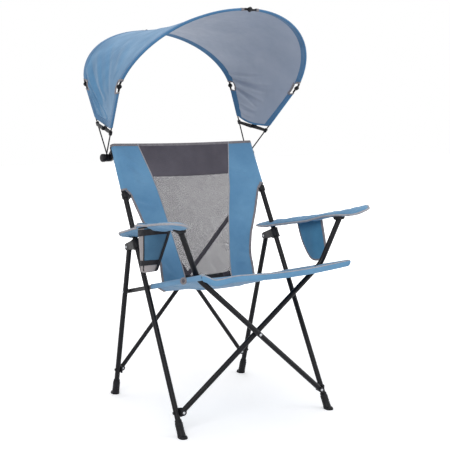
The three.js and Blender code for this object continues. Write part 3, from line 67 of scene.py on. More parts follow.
# Each brace by the side of its foot and the layer that it runs in: the right one passes behind
BRACES = ((-1, -1, "right"), (1, 1, "left"))
GAP = 0.3
ROUND = 32
SMOOTH_ANGLE = math.radians(38)
CLOTH_ANGLE = math.radians(60)
NODE_BODY = {
    node: body
    for body, nodes in frame["record"]["behaviour"]["bodies"].items()
    for node in nodes
}

# Frame measures that the part's source also has
LEG_R = 9.5
LEG_WALL = 1.2
RAIL_WALL = 1.0
REAR_BRACE_R = 8.0
RAIL_R = 8.0
WIRE_R = 2.5
BRACE_GAP = 0.6
TOP_Z = 950.0
PIN_Z = 592.0
FRONT_RIVET_Z = 74.0
REAR_RIVET_Z = 102.0
BALL_X = 327.0
BALL_Z = 700.0
BEND_X = 259.0
BEND_Z = 543.0
BEND_SETBACK = 26.0
TUBE_START = 10.0
# The frame's origin lies this far behind the middle between the feet
MIDDLE_Y = 81.05


# Points and directions
def row(*values):
    return np.array(values, float)


X_AXIS = row(1, 0, 0)
Z_AXIS = row(0, 0, 1)


def unit(vector):
    return vector / np.linalg.norm(vector)


def on_side(point, side):
    return point * row(side, 1, 1)


def between(low, high, share):
    return low + (high - low) * share


def from_feet(x, y, z):
    """A point whose y is counted from between the feet, in the frame's own y."""
    return row(x, y - MIDDLE_Y, z)


TUBE_FOOT = from_feet(304, -278, 0)
TUBE_TOP = from_feet(294, 262, TOP_Z)
TUBE_UP = unit(TUBE_TOP - TUBE_FOOT)
TUBE_REAR = unit(np.cross(TUBE_UP, X_AXIS))
LEG_PIN = from_feet(297, 127, PIN_Z)
REAR_FOOT = from_feet(285, 287, 0)
LEG_DOWN = unit(REAR_FOOT - LEG_PIN)


def tube_at(z):
    """The back tube's axis at one height, or at a row of heights."""
    return between(TUBE_FOOT, TUBE_TOP, np.asarray(z)[..., None] / TOP_Z)


def leg_at(z):
    return between(REAR_FOOT, LEG_PIN, z / PIN_Z)


FRONT_LEG = tube_at(FRONT_RIVET_Z)
FRONT_RIVET = row(FRONT_LEG[0] - 22, FRONT_LEG[1] - 12.5, FRONT_RIVET_Z)
BALL = from_feet(BALL_X, -305, BALL_Z)
FRONT_UP = unit(row(0, BALL[1] - FRONT_RIVET[1], BALL_Z - FRONT_RIVET_Z))
FRONT_NORMAL = np.cross(X_AXIS, FRONT_UP)
FRONT_SHIFT = LEG_R + BRACE_GAP
REAR_LEG = leg_at(REAR_RIVET_Z)
REAR_RIVET = row(REAR_LEG[0] - 23, REAR_LEG[1] + 8, REAR_RIVET_Z)
REAR_TOP = from_feet(REAR_RIVET[0], 181, 779)
REAR_UP = unit(row(0, REAR_TOP[1] - REAR_RIVET[1], REAR_TOP[2] - REAR_RIVET_Z))
REAR_NORMAL = np.cross(X_AXIS, REAR_UP)
REAR_SHIFT = REAR_BRACE_R + BRACE_GAP
RAIL_PIVOT = leg_at(419)
RAIL_START = row(RAIL_PIVOT[0] - LEG_R - RAIL_R - 2 * GAP, RAIL_PIVOT[1], RAIL_PIVOT[2])
RAIL_TIP = from_feet(290, -398, 562)
RAIL_FORWARD = unit(RAIL_TIP - RAIL_START)
RAIL_UP = unit(np.cross(RAIL_FORWARD, X_AXIS))


def on_front_plane(x, z, layer):
    share = (z - FRONT_RIVET_Z) / (BALL_Z - FRONT_RIVET_Z)
    point = row(x, between(FRONT_RIVET[1], BALL[1], share), z)
    return point + FRONT_NORMAL * layer * FRONT_SHIFT


# Materials
def linear(colour):
    """An sRGB colour, from 0 to 255, as the shader's own linear values."""
    shares = [value / 255 for value in colour]
    return tuple(
        share / 12.92 if share <= 0.04045 else ((share + 0.055) / 1.055) ** 2.4
        for share in shares
    ) + (1.0,)


class Finish:
    """A material and the short words that build its nodes."""

    def __init__(self, name, roughness, metallic=0.0, specular=0.5):
        self.material = bpy.data.materials.new(name)
        self.material.use_nodes = True
        self.tree = self.material.node_tree
        self.shader = self.tree.nodes["Principled BSDF"]
        self.shader.inputs["Roughness"].default_value = roughness
        self.shader.inputs["Metallic"].default_value = metallic
        self.shader.inputs["Specular IOR Level"].default_value = specular
        coordinates = self.add("ShaderNodeTexCoord")
        self.object = coordinates.outputs["Object"]
        self.uv = coordinates.outputs["UV"]

    def add(self, kind, **settings):
        node = self.tree.nodes.new(kind)
        for key, value in settings.items():
            setattr(node, key, value)
        return node

    def link(self, source, target):
        self.tree.links.new(source, target)

    def noise(self, source, scale, detail=3.0, rough=0.55, stretch=(1, 1, 1)):
        mapping = self.add("ShaderNodeMapping")
        mapping.inputs["Scale"].default_value = stretch
        self.link(source, mapping.inputs["Vector"])
        node = self.add("ShaderNodeTexNoise")
        node.inputs["Scale"].default_value = scale
        node.inputs["Detail"].default_value = detail
        node.inputs["Roughness"].default_value = rough
        self.link(mapping.outputs["Vector"], node.inputs["Vector"])
        return node.outputs["Fac"]

    def threads(self, pitch, direction):
        """Rounded yarns across the piece's own UV map, which is in metres."""
        wave = self.add("ShaderNodeTexWave", wave_type="BANDS", bands_direction=direction)
        wave.inputs["Scale"].default_value = 1 / (pitch * MM * 20 / math.pi)
        wave.inputs["Distortion"].default_value = 0.0
        self.link(self.uv, wave.inputs["Vector"])
        return wave.outputs["Fac"]

    def weave(self, pitch):
        return self.maths("MAXIMUM", self.threads(pitch, "X"), self.threads(pitch, "Y"))

    def maths(self, operation, first, second):
        node = self.add("ShaderNodeMath", operation=operation)
        for socket, value in zip(node.inputs, (first, second)):
            if isinstance(value, (int, float)):
                socket.default_value = value
            else:
                self.link(value, socket)
        return node.outputs[0]

    def between(self, factor, low, high, from_low=0.35, from_high=0.65):
        """A share that runs from one value to another with the factor."""
        node = self.add("ShaderNodeMapRange")
        for name, value in zip(
            ("From Min", "From Max", "To Min", "To Max"), (from_low, from_high, low, high)
        ):
            node.inputs[name].default_value = value
        self.link(factor, node.inputs["Value"])
        return node.outputs["Result"]

    def mix(self, factor, first, second):
        """Two sRGB colours or sockets, mixed by the factor."""
        node = self.add("ShaderNodeMix", data_type="RGBA")
        self.link(factor, node.inputs["Factor"])
        for name, value in (("A", first), ("B", second)):
            socket = next(s for s in node.inputs if s.name == name and s.type == "RGBA")
            if isinstance(value, tuple):
                socket.default_value = linear(value)
            else:
                self.link(value, socket)
        return next(s for s in node.outputs if s.type == "RGBA")

    def colour(self, source):
        self.link(source, self.shader.inputs["Base Color"])

    def rough(self, source):
        self.link(source, self.shader.inputs["Roughness"])

    def bump(self, height, strength, distance, before=None):
        node = self.add("ShaderNodeBump")
        node.inputs["Strength"].default_value = strength
        node.inputs["Distance"].default_value = distance * MM
        self.link(height, node.inputs["Height"])
        if before is not None:
            self.link(before, node.inputs["Normal"])
        self.link(node.outputs["Normal"], self.shader.inputs["Normal"])
        return node.outputs["Normal"]


OXFORD_PITCH = 0.62
CANOPY_PITCH = 0.5
POUCH_PITCH = 0.8
MESH_PITCH = 2.6
HOLE_OPEN, HOLE_SHUT = 0.235, 0.305


def woven(name, colour, dark, pitch=OXFORD_PITCH, roughness=0.78, sheen=0.25, fade=0.5):
    """Plain-weave polyester: crossed yarns, a cloudy dye and a little fade."""
    made = Finish(name, roughness, specular=0.3)
    made.shader.inputs["Sheen Weight"].default_value = sheen
    made.shader.inputs["Sheen Roughness"].default_value = 0.45
    yarns = made.weave(pitch)
    cloud = made.noise(made.object, 9, 5)
    streaks = made.noise(made.uv, 60, 2, stretch=(1, 14, 1))
    dyed = made.mix(made.between(cloud, 0, fade), colour, dark)
    threaded = made.mix(made.between(streaks, 0, 0.22), dyed, dark)
    hollows = made.mix(made.between(yarns, 0.3, 0, 0.1, 0.8), threaded, dark)
    made.colour(hollows)
    made.rough(made.between(cloud, roughness - 0.06, roughness + 0.07))
    soft = made.bump(made.noise(made.object, 38, 4), 0.25, 1.6)
    made.bump(yarns, 0.35, 0.16, before=soft)
    return made.material


def knitted(name, colour, dark):
    """Open knitted mesh: rows of small see-through holes between thick yarns."""
    made = Finish(name, 0.82, specular=0.25)
    made.shader.inputs["Sheen Weight"].default_value = 0.2
    cell = made.add("ShaderNodeTexVoronoi", feature="F1")
    cell.inputs["Scale"].default_value = 1 / (MESH_PITCH * MM)
    cell.inputs["Randomness"].default_value = 0.0
    made.link(made.uv, cell.inputs["Vector"])
    holes = made.between(cell.outputs["Distance"], 1, 0, HOLE_OPEN, HOLE_SHUT)
    ribs = made.threads(MESH_PITCH, "X")
    cloud = made.noise(made.object, 11, 5)
    base = made.mix(made.between(cloud, 0, 0.55), colour, dark)
    made.colour(made.mix(made.between(ribs, 0.25, 0, 0.1, 0.9), base, dark))
    made.rough(made.between(cloud, 0.76, 0.9))
    made.link(made.maths("SUBTRACT", 1.0, holes), made.shader.inputs["Alpha"])
    soft = made.bump(made.noise(made.object, 30, 4), 0.2, 1.5)
    made.bump(made.maths("SUBTRACT", ribs, holes), 0.5, 0.35, before=soft)
    return made.material


def taped(name, colour, dark, pitch=1.1):
    """Narrow ribbed webbing or bias tape."""
    made = Finish(name, 0.7, specular=0.3)
    ribs = made.threads(pitch, "Y")
    cloud = made.noise(made.object, 70, 3)
    base = made.mix(made.between(cloud, 0, 0.6), colour, dark)
    made.colour(made.mix(made.between(ribs, 0.35, 0, 0.1, 0.9), base, dark))
    made.rough(made.between(cloud, 0.62, 0.8))
    made.bump(ribs, 0.4, 0.2)
    return made.material


def painted(name, colour, worn):
    """Satin powder coat with orange peel and a few rubbed places."""
    made = Finish(name, 0.3, specular=0.2)
    peel = made.noise(made.object, 900, 2)
    cloud = made.noise(made.object, 14, 6, 0.6)
    specks = made.noise(made.object, 160, 4, 0.7, (1, 1, 0.35))
    rubbed = made.maths(
        "MULTIPLY", made.between(specks, 0, 1, 0.66, 0.76), made.between(cloud, 0, 1, 0.5, 0.68)
    )
    made.colour(made.mix(rubbed, colour, worn))
    made.rough(made.between(cloud, 0.3, 0.46))
    made.bump(peel, 0.12, 0.2)
    return made.material


def moulded(name, colour, pale, roughness=0.5):
    """Moulded nylon: fine spark-eroded grain, a little scuffed."""
    made = Finish(name, roughness, specular=0.2)
    grain = made.noise(made.object, 700, 3)
    cloud = made.noise(made.object, 25, 5)
    scuffs = made.noise(made.object, 210, 5, 0.75, (1, 0.4, 1))
    base = made.mix(made.between(cloud, 0, 0.6), colour, pale)
    made.colour(made.mix(made.between(scuffs, 0, 0.5, 0.6, 0.8), base, pale))
    made.rough(made.between(cloud, roughness - 0.1, roughness + 0.1))
    made.bump(grain, 0.3, 0.12)
    return made.material


def plated(name, colour, dark):
    """Zinc-plated steel, brushed and slightly dulled."""
    made = Finish(name, 0.28, metallic=1.0)
    brushed = made.noise(made.object, 320, 4, 0.6, (1, 1, 0.12))
    cloud = made.noise(made.object, 60, 4)
    made.colour(made.mix(made.between(cloud, 0, 0.7), colour, dark))
    made.rough(made.between(brushed, 0.2, 0.42))
    made.bump(brushed, 0.15, 0.08)
    return made.material


def coated(name, colour, dark):
    """The canopy's inner coating: smooth grey film over the same cloth."""
    made = Finish(name, 0.6, specular=0.35)
    cloud = made.noise(made.object, 8, 5)
    fine = made.noise(made.object, 48, 4)
    made.colour(made.mix(made.between(cloud, 0, 0.65), colour, dark))
    made.rough(made.between(fine, 0.5, 0.7))
    soft = made.bump(fine, 0.22, 1.4)
    made.bump(made.weave(CANOPY_PITCH), 0.15, 0.08, soft)
    return made.material


BLUE = woven("seat_blue_oxford", (108, 156, 192), (80, 128, 168))
CANOPY_OUT = woven("canopy_blue_polyester", (88, 140, 180), (62, 112, 152), CANOPY_PITCH, 0.56, 0.15, 0.7)
CANOPY_IN = coated("canopy_grey_coating", (167, 176, 192), (147, 159, 178))
HEM_BLUE = woven("canopy_hem_blue", (74, 124, 166), (54, 100, 140), CANOPY_PITCH, 0.66, 0.15, 0.6)
CHARCOAL = woven("charcoal_oxford", (94, 90, 99), (70, 66, 74), OXFORD_PITCH, 0.8, 0.2)
MESH_GREY = knitted("grey_knitted_mesh", (72, 67, 75), (60, 56, 63))
POUCH_GREY = woven("pouch_grey_cloth", (166, 160, 160), (140, 134, 136), POUCH_PITCH, 0.82, 0.2)
PIPING = taped("grey_piping", (178, 178, 184), (146, 146, 152))
BINDING = taped("grey_binding_tape", (142, 138, 142), (112, 108, 112))
# Black webbing for the real bands and straps; the same black also stands as painted shade on the
# backrest's lower tape, the seat's joining strip and the arm socket boots
BLACK_WEBBING_AND_SHADE = taped("black_webbing", (30, 30, 36), (18, 18, 22), 1.4)
POUCH_BLUE = woven("pouch_dark_blue", (74, 116, 146), (50, 86, 114), sheen=0.2)
POCKET_BLUE = woven("pocket_blue", (86, 146, 181), (60, 114, 152), sheen=0.2)
FRAME_BLACK = painted("frame_powder_coat", (15, 15, 20), (64, 64, 70))
PLASTIC = moulded("black_nylon", (16, 16, 20), (36, 36, 40))
CORE_BLACK = moulded("armrest_core_plastic", (18, 18, 22), (40, 40, 44), 0.6)
STEEL = plated("zinc_rivet", (196, 198, 202), (150, 152, 156))


# Making pieces
MERGE = 0.02
FINE_MERGE = 0.01
TUBE_BORE = 24.0


def deselect():
    active = bpy.context.view_layer.objects.active
    if active is not None and active.mode != "OBJECT":
        bpy.ops.object.mode_set(mode="OBJECT")
    bpy.ops.object.select_all(action="DESELECT")


def start_on(piece):
    deselect()
    piece.select_set(True)
    bpy.context.view_layer.objects.active = piece


def linked(name, data):
    """A new object with the given data, in the scene."""
    piece = bpy.data.objects.new(name, data)
    bpy.context.scene.collection.objects.link(piece)
    return piece


def newest(name):
    piece = bpy.context.view_layer.objects.active
    piece.name = name
    piece.data.name = name
    return piece


def settle(piece):
    start_on(piece)
    bpy.ops.object.transform_apply(location=True, rotation=True, scale=True)


def smooth(piece, angle=SMOOTH_ANGLE):
    start_on(piece)
    bpy.ops.object.shade_smooth_by_angle(angle=angle)
    return piece


def pick_faces(piece, wanted):
    """Goes into edit mode with just the faces selected that the test accepts."""
    start_on(piece)
    mesh = piece.data
    mesh.vertices.foreach_set("select", [False] * len(mesh.vertices))
    mesh.edges.foreach_set("select", [False] * len(mesh.edges))
    mesh.polygons.foreach_set("select", [bool(wanted(face)) for face in mesh.polygons])
    bpy.context.tool_settings.mesh_select_mode = (False, False, True)
    bpy.ops.object.mode_set(mode="EDIT")


def leave_edit():
    bpy.ops.object.mode_set(mode="OBJECT")


def edit_whole(piece):
    """Goes into edit mode with everything selected."""
    start_on(piece)
    bpy.ops.object.mode_set(mode="EDIT")
    bpy.ops.mesh.select_all(action="SELECT")


def clean_up(piece, distance=MERGE):
    edit_whole(piece)
    bpy.ops.mesh.remove_doubles(threshold=distance * MM)
    bpy.ops.mesh.normals_make_consistent(inside=False)
    leave_edit()
    return piece


def close_ends(piece):
    edit_whole(piece)
    bpy.ops.mesh.fill_holes(sides=0)
    bpy.ops.mesh.normals_make_consistent(inside=False)
    leave_edit()


def corners_of(piece):
    """A piece's corners in metres, one row for each."""
    places = np.zeros(len(piece.data.vertices) * 3)
    piece.data.vertices.foreach_get("co", places)
    return places.reshape(-1, 3)


def move_corners(piece, moved):
    """Puts each corner where the function says, in millimetres."""
    for corner in piece.data.vertices:
        corner.co = Vector(moved(row(*corner.co) / MM)) * MM


def apply_modifier(piece, kind, **settings):
    start_on(piece)
    modifier = piece.modifiers.new(kind.lower(), kind)
    for key, value in settings.items():
        setattr(modifier, key, value)
    bpy.ops.object.modifier_apply(modifier=modifier.name)
    return piece


def bevelled(piece, width, segments=2, from_angle=40):
    return apply_modifier(
        piece, "BEVEL", width=width * MM, segments=segments, limit_method="ANGLE",
        angle_limit=math.radians(from_angle),
    )


def joined(name, *pieces):
    deselect()
    for piece in pieces:
        piece.select_set(True)
    bpy.context.view_layer.objects.active = pieces[0]
    bpy.ops.object.join()
    return newest(name)


def cut_away(piece, *cutters):
    """Cuts closed pieces out of a closed piece and deletes them."""
    for cutter in cutters:
        apply_modifier(piece, "BOOLEAN", object=cutter, operation="DIFFERENCE", solver="EXACT")
        bpy.data.objects.remove(cutter)
    return piece


def finish_as(piece, material, slot, body, *nodes):
    """Gives a piece its material and puts it on its body; the slot is not used."""
    piece.data.materials.clear()
    piece.data.materials.append(material)
    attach(piece, body)
    if nodes:
        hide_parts(*nodes)
    return piece


def instead_of(node, piece, material, slot):
    return finish_as(piece, material, slot, NODE_BODY[node], node)


def cylinder(name, start, end, radius, sides=ROUND):
    deselect()
    low, high = Vector(start) * MM, Vector(end) * MM
    axis = high - low
    bpy.ops.mesh.primitive_cylinder_add(
        vertices=sides, radius=radius * MM, depth=axis.length, end_fill_type="NGON",
        location=(low + high) / 2, rotation=axis.to_track_quat("Z", "Y").to_euler(),
    )
    piece = newest(name)
    settle(piece)
    return piece


def hollow_tube(name, start, end, radius, wall):
    """A straight tube whose open ends show its wall."""
    piece = cylinder(name, start, end, radius)
    axis = Vector(unit(end - start))
    for sign in (1, -1):
        pick_faces(piece, lambda face: face.normal.dot(axis) * sign > 0.9)
        bpy.ops.mesh.inset(thickness=wall * MM)
        bpy.ops.mesh.extrude_region_move(
            TRANSFORM_OT_translate={"value": tuple(axis * (-sign * TUBE_BORE * MM))}
        )
        leave_edit()
    return smooth(piece)


def solid_rod(name, start, end, radius, sides=ROUND, edge=0.0):
    piece = cylinder(name, start, end, radius, sides)
    if edge:
        bevelled(piece, edge)
    return smooth(piece)


def swept(name, points, radius, resolution=6, closed=False):
    """A round bar or cord along a line of points."""
    curve = bpy.data.curves.new(name, "CURVE")
    curve.dimensions = "3D"
    curve.bevel_depth = radius * MM
    curve.bevel_resolution = resolution
    curve.use_fill_caps = not closed
    spline = curve.splines.new("POLY")
    spline.points.add(len(points) - 1)
    for place, point in zip(spline.points, points):
        place.co = (*(np.array(point) * MM), 1)
    spline.use_cyclic_u = closed
    start_on(linked(name, curve))
    bpy.ops.object.convert(target="MESH")
    return smooth(newest(name))


def turned(name, profile, origin, axis, sides=ROUND):
    """A shape turned about an axis, from pairs of radius and height along the axis."""
    axis = unit(np.array(axis, float))
    aside = unit(np.cross(axis, row(0.31, 0.86, 0.41)))
    points = [tuple((origin + aside * radius + axis * height) * MM) for radius, height in profile]
    mesh = bpy.data.meshes.new(name)
    mesh.from_pydata(points, [(i, i + 1) for i in range(len(points) - 1)], [])
    piece = linked(name, mesh)
    edit_whole(piece)
    bpy.ops.mesh.spin(
        steps=sides, angle=2 * math.pi, center=tuple(np.array(origin) * MM), axis=tuple(axis)
    )
    leave_edit()
    return smooth(clean_up(piece))


def slab(name, size, place, edge, segments=3):
    """A block with rounded edges; place is its centre and its three directions, in millimetres."""
    deselect()
    bpy.ops.mesh.primitive_cube_add(size=MM)
    piece = newest(name)
    centre, *axes = place
    matrix = Matrix.Identity(4)
    for column, (axis, length) in enumerate(zip(axes, size)):
        for line in range(3):
            matrix[line][column] = axis[line] * length
    for line in range(3):
        matrix[line][3] = centre[line] * MM
    piece.data.transform(matrix)
    if matrix.determinant() < 0:
        piece.data.flip_normals()
    return smooth(bevelled(piece, edge, segments))


def cast_of(node, name, edge, segments=2):
    """A merged copy of a CAD node, with its flat faces whole and its edges rounded."""
    mesh = frame["nodes"][node].data.copy()
    mesh.materials.clear()
    piece = clean_up(linked(name, mesh), FINE_MERGE)
    edit_whole(piece)
    bpy.ops.mesh.dissolve_limited(angle_limit=math.radians(1.5))
    leave_edit()
    return smooth(bevelled(piece, edge, segments, from_angle=50))


# Cloth
def stations(breaks, count):
    """Places along a grid that pass through every break, spread evenly between them."""
    total = breaks[-1] - breaks[0]
    places = []
    for low, high in zip(breaks, breaks[1:]):
        pieces = max(1, round(count * (high - low) / total))
        places.extend(np.linspace(low, high, pieces, endpoint=False))
    return np.array([*places, breaks[-1]])


def lifted(surface, u, v, lift):
    """Points of a surface moved along its normal by a lift in millimetres."""
    tiny = 1e-3
    points = surface(u, v)
    ahead = surface(np.minimum(u + tiny, 1), v) - surface(np.maximum(u - tiny, 0), v)
    aside = surface(u, np.minimum(v + tiny, 1)) - surface(u, np.maximum(v - tiny, 0))
    normal = np.cross(ahead, aside)
    normal /= np.maximum(np.linalg.norm(normal, axis=1, keepdims=True), 1e-9)
    return points + normal * np.reshape(lift, (-1, 1))


def cloth_panel(name, surface, across, along, uv_at, flat, lift=0.0):
    """A grid of cloth: across and along are its stations, and uv_at turns them into the surface's own."""
    deselect()
    columns, rows = len(across) - 1, len(along) - 1
    bpy.ops.mesh.primitive_grid_add(
        x_subdivisions=columns, y_subdivisions=rows, size=1, calc_uvs=True
    )
    piece = newest(name)
    mesh = piece.data
    corners = corners_of(piece)
    s = across[np.rint((corners[:, 0] + 0.5) * columns).astype(int)]
    t = along[np.rint((corners[:, 1] + 0.5) * rows).astype(int)]
    u, v = uv_at(s, t)
    points = lifted(surface, u, v, lift) * MM
    mesh.vertices.foreach_set("co", points.ravel())
    loops = np.zeros(len(mesh.loops), int)
    mesh.loops.foreach_get("vertex_index", loops)
    places = np.stack([s * flat[0], t * flat[1]], axis=1) * MM
    mesh.uv_layers[0].data.foreach_set("uv", places[loops].ravel())
    mesh.update()
    return piece


def thicken(piece, thickness, inside=0):
    """Gives cloth its thickness; inside is how much further in the list its inner material is."""
    return apply_modifier(
        piece, "SOLIDIFY", thickness=thickness * MM, offset=0, use_even_offset=False,
        material_offset=inside,
    )


def same_uv(s, t):
    return s, t


def tape(name, surface, path, width, lift, thickness, rows):
    """A strip along a path of (u, v) points on a surface."""
    u, v = (np.array(values, float) for values in zip(*path))
    centre = lifted(surface, u, v, lift)
    above = lifted(surface, u, v, lift + 1.0)
    normal = above - centre
    normal /= np.linalg.norm(normal, axis=1, keepdims=True)
    tangent = np.gradient(centre, axis=0)
    aside = np.cross(normal, tangent)
    aside /= np.maximum(np.linalg.norm(aside, axis=1, keepdims=True), 1e-9)
    length = np.concatenate([[0], np.cumsum(np.linalg.norm(np.diff(centre, axis=0), axis=1))])

    def strip(s, t):
        place = np.interp(s, length / length[-1], np.arange(len(length)))
        low = np.clip(np.floor(place).astype(int), 0, len(length) - 2)
        share = (place - low)[:, None]
        middle = centre[low] * (1 - share) + centre[low + 1] * share
        out = aside[low] * (1 - share) + aside[low + 1] * share
        return middle + out * ((t - 0.5) * width)[:, None]

    piece = cloth_panel(
        name, strip, length / length[-1], np.linspace(0, 1, rows + 1), same_uv, (length[-1], width)
    )
    thicken(piece, thickness)
    return smooth(piece)


def cord_on(name, surface, path, radius, lift, resolution):
    """Piping along a path of (u, v) points on a surface."""
    u, v = (np.array(values, float) for values in zip(*path))
    return swept(name, lifted(surface, u, v, lift), radius, resolution)


# The width, the lift and the thickness of the tapes that are used more than once
BOUND = (9, 0, 2.6)
CUFFED = (7, 0, 2.4)
FOLD_FADE = 0.6


class Trims:
    """The small pieces that are sewn on one cloth and move with it."""

    def __init__(self, surface, slot, node):
        self.surface, self.slot, self.body = surface, slot, NODE_BODY[node]
        self.pieces = []

    def add(self, piece, material):
        self.pieces.append(finish_as(piece, material, self.slot, self.body))
        return piece

    def tape(self, name, path, cut, material, rows=3):
        return self.add(tape(name, self.surface, path, *cut, rows), material)

    def cord(self, name, path, radius, lift, material, resolution=4):
        return self.add(cord_on(name, self.surface, path, radius, lift, resolution), material)


def creases(lines, flat):
    """The height of a set of folds on a surface whose flat size is given.
    Each line is (u, v, u, v, width, depth), and its fold is a rounded ridge or valley that fades
    at both ends."""

    def height(u, v):
        total = np.zeros(len(u))
        for u0, v0, u1, v1, width, depth in lines:
            start = row(u0 * flat[0], v0 * flat[1])
            run = row(u1 * flat[0], v1 * flat[1]) - start
            x = u * flat[0] - start[0]
            y = v * flat[1] - start[1]
            share = np.clip((x * run[0] + y * run[1]) / (run @ run), 0, 1)
            away = np.hypot(x - share * run[0], y - share * run[1])
            total += depth * np.exp(-((away / width) ** 2)) * np.sin(np.pi * share) ** FOLD_FADE
        return total

    return height


# Camera at the photograph's angle
CAMERA_PLACE = (-1.8312, -3.1443, 1.1342)
CAMERA_TURN = math.radians(-31.28)
CAMERA_RISE = math.radians(7.47)
CAMERA_ROLL = math.radians(0.2)
CAMERA_LENS = 78.8
CAMERA_SENSOR = 36
CAMERA_REACH = 50


def place_camera():
    data = bpy.data.cameras.new("camera")
    data.lens = CAMERA_LENS
    data.sensor_width = CAMERA_SENSOR
    data.clip_end = CAMERA_REACH
    camera = linked("camera", data)
    turn, rise, roll = CAMERA_TURN, CAMERA_RISE, CAMERA_ROLL
    back = row(math.sin(turn) * math.cos(rise), -math.cos(turn) * math.cos(rise), math.sin(rise))
    right = row(math.cos(turn), math.sin(turn), 0)
    up = np.cross(back, right)
    rolled_right = right * math.cos(roll) + up * math.sin(roll)
    rolled_up = up * math.cos(roll) - right * math.sin(roll)
    columns = (rolled_right, rolled_up, back, CAMERA_PLACE)
    camera.matrix_world = Matrix(
        [[float(column[line]) for column in columns] for line in range(3)] + [[0, 0, 0, 1]]
    )
    bpy.context.scene.camera = camera


place_camera()

# Tubes of the frame
PLUG_PROFILE = [
    (0, 1.6), (4.5, 1.5), (7.6, 0.9), (8.9, 0.2), (8.9, -0.1), (8.0, -0.2), (8.0, -9), (0, -9),
]
LEG_TOP = LEG_PIN - LEG_DOWN * 6
RAIL_TAIL = RAIL_START - RAIL_FORWARD * 13
BRACE_OVER_RIVET = 8
END_SINK = 2
CAP_OVER_RIVET = 6
BEND_STEPS = 9
for side, hand in SIDES:
    for place, start, end, radius, wall in (
        ("back_tube", TUBE_FOOT + TUBE_UP * TUBE_START, TUBE_TOP, LEG_R, LEG_WALL),
        ("rear_leg", REAR_FOOT - LEG_DOWN * TUBE_START, LEG_TOP, LEG_R, LEG_WALL),
        ("seat_rail", RAIL_TAIL, RAIL_TIP, RAIL_R, RAIL_WALL),
    ):
        node = f"{place}_{hand}"
        tube = hollow_tube(f"{node}_round", on_side(start, side), on_side(end, side), radius, wall)
        instead_of(node, tube, FRAME_BLACK, "frame_paint")
        if place == "back_tube":
            up = on_side(TUBE_UP, side)
            plug = turned(f"tube_plug_{hand}", PLUG_PROFILE, on_side(end, side), up)
            finish_as(plug, PLASTIC, "black_plastic", NODE_BODY[node])


def rounded_corner(start, corner, end, setback):
    enter = corner + unit(start - corner) * setback
    leave = corner + unit(end - corner) * setback
    shares = np.linspace(0, 1, BEND_STEPS)[:, None]
    bend = (1 - shares) ** 2 * enter + 2 * shares * (1 - shares) * corner + shares**2 * leave
    return [start, *bend, end]


def front_brace(hand, foot_sign, layer):
    """A brace from one foot past the middle to the ball under the other side's armrest."""
    foot = on_front_plane(foot_sign * FRONT_RIVET[0], FRONT_RIVET_Z, layer)
    bend = on_front_plane(-foot_sign * BEND_X, BEND_Z, layer)
    centre = on_front_plane(-foot_sign * BALL_X, BALL_Z, layer)
    up = unit(centre - bend)
    down = unit(foot - bend)
    lower = foot + down * BRACE_OVER_RIVET
    line = rounded_corner(lower, bend, centre - up * END_SINK, BEND_SETBACK)
    bar = swept(f"front_brace_bar_{hand}", line, LEG_R, 8)
    foot_cap = turned(
        f"front_brace_foot_{hand}",
        [(0, 3.2), (4, 2.8), (7.6, 1.6), (9.5, 0), (9.9, -1.2), (9.9, -8), (9.5, -8.6), (0, -8.6)],
        foot + down * CAP_OVER_RIVET, down,
    )
    ball = turned(
        f"front_brace_ball_{hand}",
        [(0, 8), (2.8, 7.5), (5.4, 5.9), (7.3, 3.2), (9.0, -0.6), (9.7, -2.6), (9.9, -4), (9.9, -9),
         (9.5, -9.6), (0, -9.6)],
        centre, up,
    )
    whole = joined(f"front_brace_{hand}_round", bar, foot_cap, ball)
    return instead_of(f"front_brace_{hand}", smooth(whole), FRAME_BLACK, "frame_paint")


def rear_brace(hand, foot_sign, layer):
    """A straight brace from one foot to the clip on the other side's back tube."""
    lift = REAR_NORMAL * layer * REAR_SHIFT
    foot = on_side(REAR_RIVET, foot_sign) + lift
    top = on_side(REAR_TOP, -foot_sign) + lift
    up = unit(top - foot)
    low, high = foot - up * END_SINK, top + up * END_SINK
    bar = solid_rod(f"rear_brace_bar_{hand}", low, high, REAR_BRACE_R)
    ends = []
    for number, (end, out) in enumerate(((foot, -up), (top, up))):
        ends.append(turned(
            f"rear_brace_end_{hand}_{number}",
            [(0, 7.8), (3.4, 7.1), (6.2, 5.0), (7.8, 1.8), (8.3, 0.4), (8.3, -5.5), (8, -6), (0, -6)],
            end, out,
        ))
    whole = joined(f"rear_brace_{hand}_round", bar, *ends)
    return instead_of(f"rear_brace_{hand}", smooth(whole), FRAME_BLACK, "frame_paint")


for side, layer, hand in BRACES:
    front_brace(hand, side, layer)
    rear_brace(hand, side, layer)


# Rivets and pins
SHANK_R = 2.4
CLEVIS_WALL = 3
HUB_WALL = 3.5


def rivet(name, node, centre, axis, low, high, radius=5.0):
    """A domed rivet; low and high are where its two heads meet the parts it holds."""
    dome = [(0, 2.0), (0.42 * radius, 1.85), (0.75 * radius, 1.3), (0.97 * radius, 0.45), (radius, 0.0)]
    profile = [(r, high + h) for r, h in dome]
    profile += [(SHANK_R, high), (SHANK_R, low)]
    profile += [(r, low - h) for r, h in reversed(dome)]
    return instead_of(node, turned(name, profile, centre, axis, 24), STEEL, "steel")


